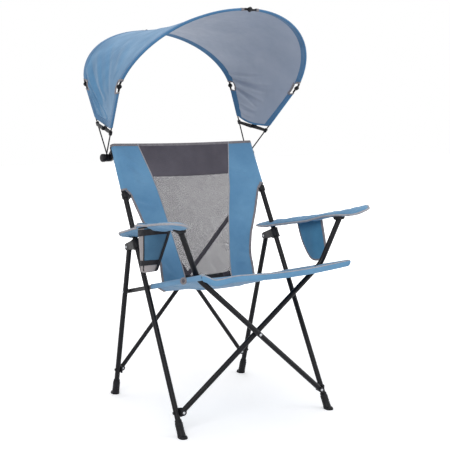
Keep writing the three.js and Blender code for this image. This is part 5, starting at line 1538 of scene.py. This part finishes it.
SEAT_FLAT = (640, 520)
SEAT_FOLDS = [
    (0.20, 0.36, 0.34, 0.16, 16, -3.0), (0.20, 0.42, 0.36, 0.46, 16, 2.6),
    (0.19, 0.30, 0.27, 0.05, 14, 2.4), (0.80, 0.36, 0.66, 0.16, 16, -3.0),
    (0.80, 0.42, 0.64, 0.46, 16, 2.6), (0.81, 0.30, 0.73, 0.05, 14, 2.4),
    (0.30, 0.90, 0.44, 0.60, 24, 3.0), (0.70, 0.90, 0.56, 0.60, 24, 3.0),
    (0.36, 0.98, 0.42, 0.78, 14, -3.0), (0.64, 0.98, 0.58, 0.78, 14, -3.0),
    (0.46, 0.30, 0.54, 0.10, 30, 2.0), (0.22, 0.80, 0.32, 0.70, 14, -2.6),
    (0.78, 0.80, 0.68, 0.70, 14, -2.6),
]
seat = folded(seat_plain, creases(SEAT_FOLDS, SEAT_FLAT))


def beside_tail(s, t):
    return t > SEAT_SLEEVE_V and min(s, 1 - s) < WRAP_SHARE


seat_cloth = cloth(
    "seat_cloth", seat, stations([0, WRAP_SHARE, 1 - WRAP_SHARE, 1], 150),
    stations([0, SEAT_SLEEVE_V, 1], 100), same_uv, SLING_THICK, [beside_tail],
)
BRACE_HOLE_R = 13.5
for side, hand in SIDES:
    bend = on_front_plane(side * BEND_X, BEND_Z, -side)
    above = between(bend, on_front_plane(side * BALL_X, BALL_Z, -side), 0.5)
    below = between(bend, on_front_plane(-side * FRONT_RIVET[0], FRONT_RIVET_Z, -side), 0.2)
    cut_away(seat_cloth, swept(f"seat_cutter_{hand}", [above, bend, below], BRACE_HOLE_R))
finish_as(smooth(seat_cloth, CLOTH_ANGLE), BLUE, "blue_fabric", SEAT_BODY, "seat_sling")

FRONT_BAND = 20.0


def front_band(s, t):
    """The band along the front edge: s runs across and t down, and its ends are narrower."""
    u = between(0.10, 0.90, s)
    top = seat_plain(u, np.zeros(len(u)))
    drop = np.zeros_like(top)
    taper = np.interp(np.minimum(s, 1 - s), [0, 0.02, 0.07], [0.22, 0.7, 1])
    drop[:, 1] = -(2.2 + 2.6 * np.sin(np.pi * t))
    drop[:, 2] = 1.5 - (FRONT_BAND * t + 4) * taper
    return top + drop


seat_trims = Trims(seat, "blue_fabric", "seat_sling")
band = cloth_panel(
    "seat_front_band", front_band, np.linspace(0, 1, 90), np.linspace(0, 1, 9), same_uv, (600, 22)
)
thicken(band, 1.8)
seat_trims.add(smooth(band), BLUE)
line = front_band(np.linspace(0.0, 1.0, 90), np.zeros(90))
seat_trims.add(swept("seat_front_piping", list(line), 2.0, 4), PIPING)
for number, (start, end) in enumerate(((EDGE_IN, WRAP_SHARE), (1 - WRAP_SHARE, 1 - EDGE_IN))):
    line = [(u, SEAT_SLEEVE_V - 0.008) for u in np.linspace(start, end, 24)]
    seat_trims.tape(f"seat_sleeve_binding_{number}", line, CUFFED, BINDING)
    edge_u = WRAP_SHARE + EDGE_IN if number == 0 else 1 - WRAP_SHARE - EDGE_IN
    line = [(edge_u, v) for v in np.linspace(SEAT_SLEEVE_V, 1, 20)]
    seat_trims.tape(f"seat_tail_binding_{number}", line, BOUND, BINDING)


def joining_strip(s, t):
    """The black strip from the seat's rear edge to the lower edge of the backrest: partly real webbing,
    partly a dark sheet of painted shade for the shadowed gap between them.
    """
    u = between(WRAP_SHARE + 0.01, 1 - WRAP_SHARE - 0.01, s)
    seat_edge = seat_plain(u, np.ones(len(u)))
    back_edge = back_plain(1 - u, np.ones(len(u)))
    return between(seat_edge, back_edge, t[:, None])


# Black: partly webbing, partly painted shade in the gap between the seat and the backrest
strip = cloth_panel(
    "seat_joining_webbing", joining_strip, np.linspace(0, 1, 60), np.linspace(0, 1, 5), same_uv,
    (380, 24),
)
thicken(strip, 1.6)
seat_trims.add(smooth(strip), BLACK_WEBBING_AND_SHADE)
EYELET_U = 0.066
EYELET_V = 0.27
EYELET_STRETCH = 0.9
spot, above = (lifted(seat, row(EYELET_U), row(EYELET_V), lift)[0] for lift in (0.0, 1.0))
eyelet_axis = unit(above - spot)
eyelet = turned(
    "seat_eyelet",
    [(6.2, 0.2), (6.6, 1.8), (8.6, 2.8), (11.2, 2.4), (12.4, 0.8), (12.2, -0.6), (8, -0.4), (6.2, 0.2)],
    spot, eyelet_axis,
)
seat_trims.add(eyelet, BINDING)
plug = turned(
    "seat_eyelet_plug", [(0, 1.1), (4, 1.0), (6.4, 0.6), (6.6, -0.4), (0, -0.6)], spot, eyelet_axis
)
rail_line = on_side(RAIL_FORWARD, -1)
for piece in (eyelet, plug):
    move_corners(
        piece, lambda point: point + rail_line * ((point - spot) @ rail_line) * EYELET_STRETCH
    )
seat_trims.add(plug, CHARCOAL)
hang_all([seat_cloth], seat_cloth, seat_trims)
squashed([seat_cloth, *seat_trims.pieces])


# Armrests: a stiff core in a padded cover that is rolled a little inwards, the cup pouch and the pocket
ARM_REAR = from_feet(297, 197, 624)
ARM_TIP = from_feet(352, -413, 737)
ARM_LENGTH = float(np.linalg.norm(ARM_TIP - ARM_REAR))
ARM_FORWARD = unit(ARM_TIP - ARM_REAR)
ARM_UP = unit(row(0, ARM_FORWARD[2], -ARM_FORWARD[1]))
ARM_SIDE = np.cross(ARM_UP, ARM_FORWARD)
ARM_ROLL = {
    1: ([0, 340, 430, 490, 582, 623], [0.26, 0.24, 0.12, 0.14, 0.45, 0.45]),
    -1: ([0, 623], [0.26, 0.26]),
}
LEFT_RISE = ([0, 340, 430, 490, 582, 623], [0, 0, 5, 5, 8.5, 8.5])
PAD_HALF = 35.0
PAD_THICK = 21.0
PAD_REAR_TAPER = 90.0
PAD_FRONT_TAPER = 70.0
PAD_SWELL = 3.0
PAD_GIRTH = 160
PAD_PIPING_R = 3.7
CUP_ALONG = 312.0
CUP_RING = 54.0
CUP_HOLE = 44.1
CUP_CUT = 40
CUP_RISE = 7.0
RING_THICK = 8.0
CORE_HALF_THICK = 4.6
CORE_SHARE = 0.78
SPLAY_FROM = 200.0
SPLAY = {1: 12.0, -1: 22.0}
BOW_FROM, BOW_LONG = 110, 460
NEAR_CUP = 74
PAD_END = 2.0
PAD_INSET = 2.0
PAD_VOXEL = 5.0
PAD_ANGLE = math.radians(75)
SEAM_END = 12
SEAM_WIDE = 4.5
PAD_PRESSURE = 4.0
PAD_FRAMES = 20
SLOT_OUT = 5
SLOT_SIZE = (37, 35, 60)


def in_arm(across, up, along, side):
    """Points of an armrest's own frame: outwards, up out of the pad, and forwards from its rear end."""
    across, up, along = (np.asarray(value, float)[..., None] for value in (across, up, along))
    return (ARM_REAR + across * ARM_SIDE + up * ARM_UP + along * ARM_FORWARD) * row(side, 1, 1)


def arm_place(point):
    away = point - ARM_REAR
    return row(away @ ARM_SIDE, away @ ARM_UP, away @ ARM_FORWARD)


def arm_bow(along, side):
    """How far the pad rises: over the cup on the right, and towards its tip on the left."""
    if side < 0:
        return CUP_RISE * np.sin(np.pi * np.clip((along - BOW_FROM) / BOW_LONG, 0, 1))
    return np.interp(along, *LEFT_RISE)


def near_cup(along, side):
    if side > 0:
        return np.zeros_like(along)
    return np.exp(-(((along - CUP_ALONG) / NEAR_CUP) ** 2))


def pad_half(along, side, inset=0.0):
    """Half of the pad's width along it, pointed at both ends and rounded out at the cup."""
    places = row(0, 0.35, 0.68, 1)
    rear = np.interp(along, places * PAD_REAR_TAPER, row(0.06, 0.5, 0.82, 1))
    front = np.interp(ARM_LENGTH - along, places * PAD_FRONT_TAPER, row(0.13, 0.76, 0.95, 1))
    half = (PAD_HALF - inset) * np.minimum(rear, front)
    if side > 0:
        return half
    ring = np.sqrt(np.maximum((CUP_RING - inset) ** 2 - (along - CUP_ALONG) ** 2, 1))
    return (half ** 6 + ring ** 6) ** (1 / 6)


def pad_centre(across, along, side):
    return across * np.interp(along, *ARM_ROLL[side]) + arm_bow(along, side)


def splay(along, side):
    """How far the pad swings outwards towards its tip."""
    return SPLAY[side] * (np.maximum(along - SPLAY_FROM, 0) / (ARM_LENGTH - SPLAY_FROM)) ** 2


def on_pad(across, up, along, side):
    return in_arm(across + splay(along, side), up + pad_centre(across, along, side), along, side)


def pad_section(inset, side):
    def surface(s, t):
        along = between(PAD_END + inset, ARM_LENGTH - PAD_END - inset, t)
        angle = 2 * np.pi * s
        across = pad_half(along, side, inset) * np.sign(np.cos(angle)) * np.abs(np.cos(angle)) ** 0.85
        ends = np.interp(np.minimum(along, ARM_LENGTH - along), [0, 26, 95], [0.5, 0.84, 1])
        thick = (PAD_THICK - 2 * inset) * ends + RING_THICK * near_cup(along, side)
        up = thick / 2 * np.sign(np.sin(angle)) * np.abs(np.sin(angle)) ** 0.75
        return on_pad(across, up, along, side)

    return surface


def swell(piece, held, cap):
    """Blows a closed pad up as cloth with its seam held, and keeps each point within the cap."""
    start_on(piece)
    piece.data.remesh_voxel_size = PAD_VOXEL * MM
    bpy.ops.object.voxel_remesh()
    before = corners_of(piece)
    group = piece.vertex_groups.new(name="seam")
    group.add([int(i) for i in np.nonzero(held(before / MM))[0]], 1.0, "REPLACE")
    modifier = piece.modifiers.new("swell", "CLOTH")
    modifier.settings.use_pressure = True
    modifier.settings.uniform_pressure_force = PAD_PRESSURE
    modifier.settings.effector_weights.gravity = 0
    modifier.settings.vertex_group_mass = "seam"
    modifier.settings.shrink_min = -0.05
    modifier.point_cache.frame_start = 1
    modifier.point_cache.frame_end = PAD_FRAMES
    for number in range(1, PAD_FRAMES + 1):
        bpy.context.scene.frame_set(number)
    start_on(piece)
    bpy.ops.object.modifier_apply(modifier=modifier.name)
    bpy.context.scene.frame_set(1)
    moved = corners_of(piece) - before
    length = np.linalg.norm(moved, axis=1, keepdims=True)
    moved *= np.minimum(1, cap * MM / np.maximum(length, 1e-9))
    piece.data.vertices.foreach_set("co", (before + moved).ravel())
    piece.vertex_groups.clear()
    apply_modifier(piece, "SMOOTH", factor=0.5, iterations=2)
    apply_modifier(piece, "SUBSURF", levels=1, render_levels=1)
    return smooth(piece, PAD_ANGLE)


def on_pad_edge(points, side):
    """Which points lie at the seam round the pad."""
    away = points * row(side, 1, 1) - ARM_REAR
    along = away @ ARM_FORWARD
    half = pad_half(np.clip(along, PAD_END, ARM_LENGTH - PAD_END), side, PAD_INSET)
    ends = (along < SEAM_END) | (along > ARM_LENGTH - SEAM_END)
    return (np.abs(away @ ARM_SIDE - splay(along, side)) > half - SEAM_WIDE) | ends


share = (ARM_REAR - TUBE_FOOT) @ ARM_UP / (TUBE_UP @ ARM_UP)
SLOT_PLACE = arm_place(TUBE_FOOT + TUBE_UP * share)
SOCKET_LONGER = 0.3
SOCKET_NARROWER = 0.2
SOCKET_UP = 3
SOCKET_PROFILE = [
    (14.2, 11), (16.4, 10.6), (19, 8), (19.8, 3), (18.6, -2), (16.2, -5), (14, -6.2), (12.6, -6.2),
    (12.6, -4), (14, 8), (14.2, 11),
]
for side, hand in SIDES:
    body = NODE_BODY[f"arm_cover_{hand}"]
    outward, forward, upward = (on_side(axis, side) for axis in (ARM_SIDE, ARM_FORWARD, ARM_UP))

    def on_core(point):
        across, up, along = arm_place(on_side(point, side))
        return on_pad(across * CORE_SHARE, min(up, CORE_HALF_THICK) * CORE_SHARE, along, side)

    core = cast_of(f"arm_core_{hand}", f"arm_core_{hand}_moulding", 0.6)
    edit_whole(core)
    bpy.ops.mesh.subdivide(number_cuts=4)
    leave_edit()
    move_corners(core, on_core)
    instead_of(f"arm_core_{hand}", smooth(core), CORE_BLACK, "black_plastic")

    pad = cloth_panel(
        f"arm_pad_{hand}", pad_section(PAD_INSET, side), np.linspace(0, 1, 41), np.linspace(0, 1, 121),
        same_uv, (PAD_GIRTH, ARM_LENGTH),
    )
    close_ends(clean_up(pad, FINE_MERGE))
    swell(pad, lambda points: on_pad_edge(points, side), PAD_SWELL)
    slot_centre = in_arm(SLOT_PLACE[0] + SLOT_OUT, 0, SLOT_PLACE[2], side)
    cutters = [slab("slot", SLOT_SIZE, (slot_centre, outward, forward, upward), 8, 5)]
    if side < 0:
        top, low = (in_arm(0, up, CUP_ALONG, side) for up in (CUP_CUT, -CUP_CUT))
        cutters.append(solid_rod("cup_cutter", low, top, CUP_HOLE, 72))
    cut_away(pad, *cutters)
    finish_as(pad, BLUE, "blue_fabric", body, f"arm_cover_{hand}")
    smooth(pad, CLOTH_ANGLE)

    along = np.concatenate([
        [3], np.linspace(8, 90, 22), np.linspace(94, ARM_LENGTH - 105, 90),
        np.linspace(ARM_LENGTH - 101, ARM_LENGTH - 8, 24), [ARM_LENGTH - 3],
    ])
    half = pad_half(along, side) - 0.5
    outer = on_pad(half, 0 * half, along, side)
    inner = on_pad(-half, 0 * half, along, side)
    piping = swept(f"arm_piping_{hand}", [*outer, *inner[::-1]], PAD_PIPING_R, 5, closed=True)
    finish_as(piping, PIPING, "blue_fabric", body)

    ball = arm_place(on_front_plane(BALL_X, BALL_Z, -side))
    centre = in_arm(ball[0], ball[1] + SOCKET_UP, ball[2], side)

    def oval(point):
        away = point - centre
        longer = forward * (away @ forward) * SOCKET_LONGER
        return point + longer - outward * (away @ outward) * SOCKET_NARROWER

    # The boot round the brace's socket is a blue fabric sleeve coloured black here: partly painted shade
    # under the armrest, partly the real black where the brace enters
    boot = turned(f"arm_socket_boot_with_painted_shade_{hand}", SOCKET_PROFILE, centre, upward, 40)
    move_corners(boot, oval)
    finish_as(smooth(boot, CLOTH_ANGLE), BLACK_WEBBING_AND_SHADE, "blue_fabric", body)

# Cup pouch on the right arm: dark blue in front, grey beside it, black rim, strap and bands
CUP_RADII = [55, 54, 51.6, 47, 41, 35.8, 31, 28.8, 27.4, 24.6, 18, 8, 0.6]
CUP_LEVELS = [4, -4, -18, -40, -64, -90, -114, -127, -133, -137, -139, -140, -140.4]
CUP_LEAN = 62.0
POUCH_ALONG = CUP_ALONG + 8
POUCH_IN = 6.0
POUCH_OUT = 12.0
# The cup surface's normal points inwards, so outwards is this sign
OUT = -1
CUP_DEPTH = 140.0
CUP_SLACK = 0.018
cup_steps = np.linspace(0, 1, len(CUP_RADII))


def cup(u, v):
    """The pouch: u runs round it from outwards to forwards, and v down to its foot's middle."""
    radius = np.interp(v, cup_steps, CUP_RADII)
    level = np.interp(v, cup_steps, CUP_LEVELS)
    angle = 2 * np.pi * u
    slack = 1 + CUP_SLACK * np.sin(3 * angle + 1.1) * np.sin(np.pi * np.clip(v * 1.4, 0, 1))
    fall = np.minimum(level, 0) / CUP_DEPTH
    rise = CUP_RISE * np.clip(1 + level / 60, 0, 1)
    across = radius * slack * np.cos(angle) - POUCH_IN - POUCH_OUT * fall
    along = POUCH_ALONG + CUP_LEAN * fall + radius * slack * np.sin(angle)
    return in_arm(across, level + rise, along, -1)


def cup_row(level):
    return float(np.interp(-level, -np.array(CUP_LEVELS), cup_steps))


BAND_LOW = cup_row(-116)
CUP_GREY_FROM = -26 / 360
CUP_BLUE_FROM = 29 / 360
CUP_STRAP_FROM = 126 / 360
CUP_STRAP_TO = 146 / 360
cup_sheets = []
cup_trims = Trims(cup, "pouch_fabric", "cup_holder")
for name, start, end, top, low, material, count in (
    ("cup_side_panel", CUP_STRAP_TO - 1, CUP_BLUE_FROM, 0, 1, POUCH_GREY, 66),
    ("cup_front_panel", CUP_BLUE_FROM, CUP_STRAP_TO, 0, BAND_LOW, POUCH_BLUE, 34),
    ("cup_foot_panel", CUP_BLUE_FROM, CUP_STRAP_TO, BAND_LOW, 1, POUCH_GREY, 34),
):
    panel = cloth(
        name, cup, np.linspace(0, 1, count + 1), np.linspace(0, 1, 41),
        lambda s, t, a=start, b=end, c=top, d=low: (between(a, b, s), between(c, d, t)), POUCH_THICK,
    )
    cup_sheets.append(finish_as(panel, material, cup_trims.slot, cup_trims.body))
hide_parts("cup_holder")
around = np.linspace(0, 1, 73)
for name, level, width, lift in (
    ("cup_rim_band", -11, 22, 1.6), ("cup_lower_band", -107, 18, 1.5), ("cup_top_binding", 3.5, 5, 0.4),
):
    line = [(u, cup_row(level)) for u in around]
    clean_up(cup_trims.tape(name, line, (width, OUT * lift, 1.6), BLACK_WEBBING_AND_SHADE, 4), FINE_MERGE)
line = [((CUP_STRAP_FROM + CUP_STRAP_TO) / 2, v) for v in np.linspace(cup_row(-4), cup_row(-136), 40)]
cup_trims.tape("cup_strap", line, (20, OUT * 2.4, 1.8), BLACK_WEBBING_AND_SHADE, 4)
for name, u in (("cup_seam_rear", CUP_BLUE_FROM), ("cup_seam_far", CUP_GREY_FROM - 0.3)):
    line = [(u, v) for v in np.linspace(cup_row(-10), cup_row(-134), 36)]
    cup_trims.tape(name, line, (4, OUT * 1.2, 1.4), BLACK_WEBBING_AND_SHADE, 2)
RIM_PROFILE = [
    (44.6, 0), (47, 2.2), (50.5, 2.4), (50.9, 1.4), (50.4, 0.5), (47.2, 0.2), (46.4, -2), (46.2, -14),
    (44.6, -14), (44.6, 0),
]
RIM_UP = 6
rim = turned("cup_rim", RIM_PROFILE, in_arm(0, RIM_UP + CUP_RISE, CUP_ALONG, -1), ARM_UP, 64)
cup_roll = ARM_ROLL[-1][1][0]
move_corners(rim, lambda point: point + ARM_UP * arm_place(on_side(point, -1))[0] * cup_roll)
cup_trims.add(rim, PLASTIC)
hang_all(cup_sheets, cup_sheets[0], cup_trims)

# Pocket under the left arm: two bound panels, open at the top on the outer side
POCKET_ALONG = 249.0
POCKET_OUT = 6.0
POCKET_TOP = -8.0
POCKET_DEPTH = 146.0
POCKET_REAR = (
    [0, 0.14, 0.32, 0.48, 0.63, 0.77, 0.9, 0.955, 0.985, 1], [0, 3, 9, 16, 26, 37, 50, 59, 68, 80],
)
POCKET_FRONT = ([0, 0.5, 0.85, 1], [132, 139, 141, 126])
MOUTH_T = 0.2
POCKET_FULL = 7.5


def pocket_side(sign):
    """The inner (-1) or the outer (+1) side: s runs forwards and t down."""

    def surface(s, t):
        along = between(np.interp(t, *POCKET_REAR), np.interp(t, *POCKET_FRONT), s)
        full = np.clip(np.sin(np.pi * s), 0, 1) ** 0.9 * np.clip(np.sin(np.pi * t), 0, 1) ** 0.7
        fold = 1.6 * np.sin(9 * s + 5.2 * t) * full
        across = POCKET_OUT + sign * (1.2 + POCKET_FULL * full + fold)
        return in_arm(across, POCKET_TOP - POCKET_DEPTH * t, POCKET_ALONG + along, 1)

    return surface


pocket_sheets = []
pocket_trims = Trims(pocket_side(1), "pouch_fabric", "arm_pocket")
for name, sign, start in (("pocket_inner_panel", -1, 0.0), ("pocket_outer_panel", 1, MOUTH_T)):
    panel = cloth(
        name, pocket_side(sign), np.linspace(0, 1, 45), np.linspace(0, 1, 49),
        lambda s, t, a=start: (s, between(a, 1.0, t)), POUCH_THICK,
    )
    pocket_sheets.append(finish_as(panel, POCKET_BLUE, pocket_trims.slot, pocket_trims.body))
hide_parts("arm_pocket")
down = np.concatenate([np.linspace(0, 0.88, 34), np.linspace(0.9, 1, 16)])
rear_edge, front_edge = (
    in_arm(POCKET_OUT, POCKET_TOP - POCKET_DEPTH * down, POCKET_ALONG + np.interp(down, *edge), 1)
    for edge in (POCKET_REAR, POCKET_FRONT)
)
foot = [between(rear_edge[-1], front_edge[-1], step) for step in np.linspace(0, 1, 20)[1:-1]]
pocket_trims.add(swept("pocket_binding", [*rear_edge, *foot, *front_edge[::-1]], 4.4, 4), BINDING)
mouth_line = [(s, MOUTH_T) for s in np.linspace(0.02, 0.98, 40)]
pocket_trims.tape("pocket_mouth_hem", mouth_line, (7, 0, 2.6), BINDING, 4)
hang_all(pocket_sheets, pocket_sheets[0], pocket_trims)


# Floor, light and background
FLOOR_SIZE = 24
FLOOR_GREY = (246, 246, 247)
FLOOR_PALE = (243, 243, 245)
FLOOR_NEAR = 1.1
FLOOR_FAR = 2.6
FLOOR_LIFT = 0.33
WHITE = (1, 1, 1, 1)
WORLD_LIGHT = 0.62
WORLD_SEEN = 1.0
# Each lamp's name, place, power in watts and width in metres; all aim at the chair's middle
LAMPS = (
    ("key", (-2.6, -2.8, 3.2), 62, 2.4),
    ("fill", (3.0, -2.2, 2.0), 26, 2.6),
    ("top", (0.3, 0.6, 3.8), 34, 2.6),
)
LAMP_AIM = (0, 0, 0.7)


def seen_rays(tree):
    """Is this what the camera sees, straight or in a reflection, and not what lights the object?"""
    path = tree.nodes.new("ShaderNodeLightPath")
    seen = path.outputs["Is Camera Ray"]
    for name in ("Is Glossy Ray", "Is Transmission Ray"):
        either = tree.nodes.new("ShaderNodeMath")
        either.operation = "MAXIMUM"
        tree.links.new(seen, either.inputs[0])
        tree.links.new(path.outputs[name], either.inputs[1])
        seen = either.outputs[0]
    return seen


def lay_floor():
    """A pale floor that fades into the white background."""
    deselect()
    bpy.ops.mesh.primitive_plane_add(size=FLOOR_SIZE)
    floor = newest("floor")
    settle(floor)
    made = Finish("pale_floor", 0.8, specular=0.1)
    fine = made.noise(made.object, 3, 3)
    made.colour(made.mix(made.between(fine, 0, 1), FLOOR_GREY, FLOOR_PALE))
    reach = made.add("ShaderNodeVectorMath", operation="LENGTH")
    made.link(made.object, reach.inputs[0])
    far = made.between(reach.outputs["Value"], 0, 1, FLOOR_NEAR, FLOOR_FAR)
    seen = seen_rays(made.tree)
    glow = made.maths("MULTIPLY", made.between(far, FLOOR_LIFT, 1, 0, 1), seen)
    made.shader.inputs["Emission Color"].default_value = WHITE
    made.link(glow, made.shader.inputs["Emission Strength"])
    floor.data.materials.append(made.material)
    floor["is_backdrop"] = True


def light_world():
    """White where the camera looks past the chair, and a softer light on the chair itself."""
    world = bpy.context.scene.world or bpy.data.worlds.new("studio")
    bpy.context.scene.world = world
    world.use_nodes = True
    tree = world.node_tree
    tree.nodes.clear()
    mix = tree.nodes.new("ShaderNodeMixShader")
    tree.links.new(seen_rays(tree), mix.inputs["Fac"])
    for socket, strength in zip(mix.inputs[1:], (WORLD_LIGHT, WORLD_SEEN)):
        shade = tree.nodes.new("ShaderNodeBackground")
        shade.inputs["Color"].default_value = WHITE
        shade.inputs["Strength"].default_value = strength
        tree.links.new(shade.outputs[0], socket)
    out = tree.nodes.new("ShaderNodeOutputWorld")
    tree.links.new(mix.outputs[0], out.inputs["Surface"])


def hang_lamps():
    for name, place, power, size in LAMPS:
        data = bpy.data.lights.new(name, "AREA")
        data.energy = power
        data.shape = "DISK"
        data.size = size
        lamp = linked(name, data)
        lamp.location = place
        aim = Vector(LAMP_AIM) - Vector(place)
        lamp.rotation_euler = aim.to_track_quat("-Z", "Y").to_euler()


lay_floor()
light_world()
hang_lamps()
bpy.context.scene.view_settings.view_transform = "Standard"
low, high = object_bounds()
{"cad": [list(cad_low), list(cad_high)], "visual": [list(low), list(high)]}
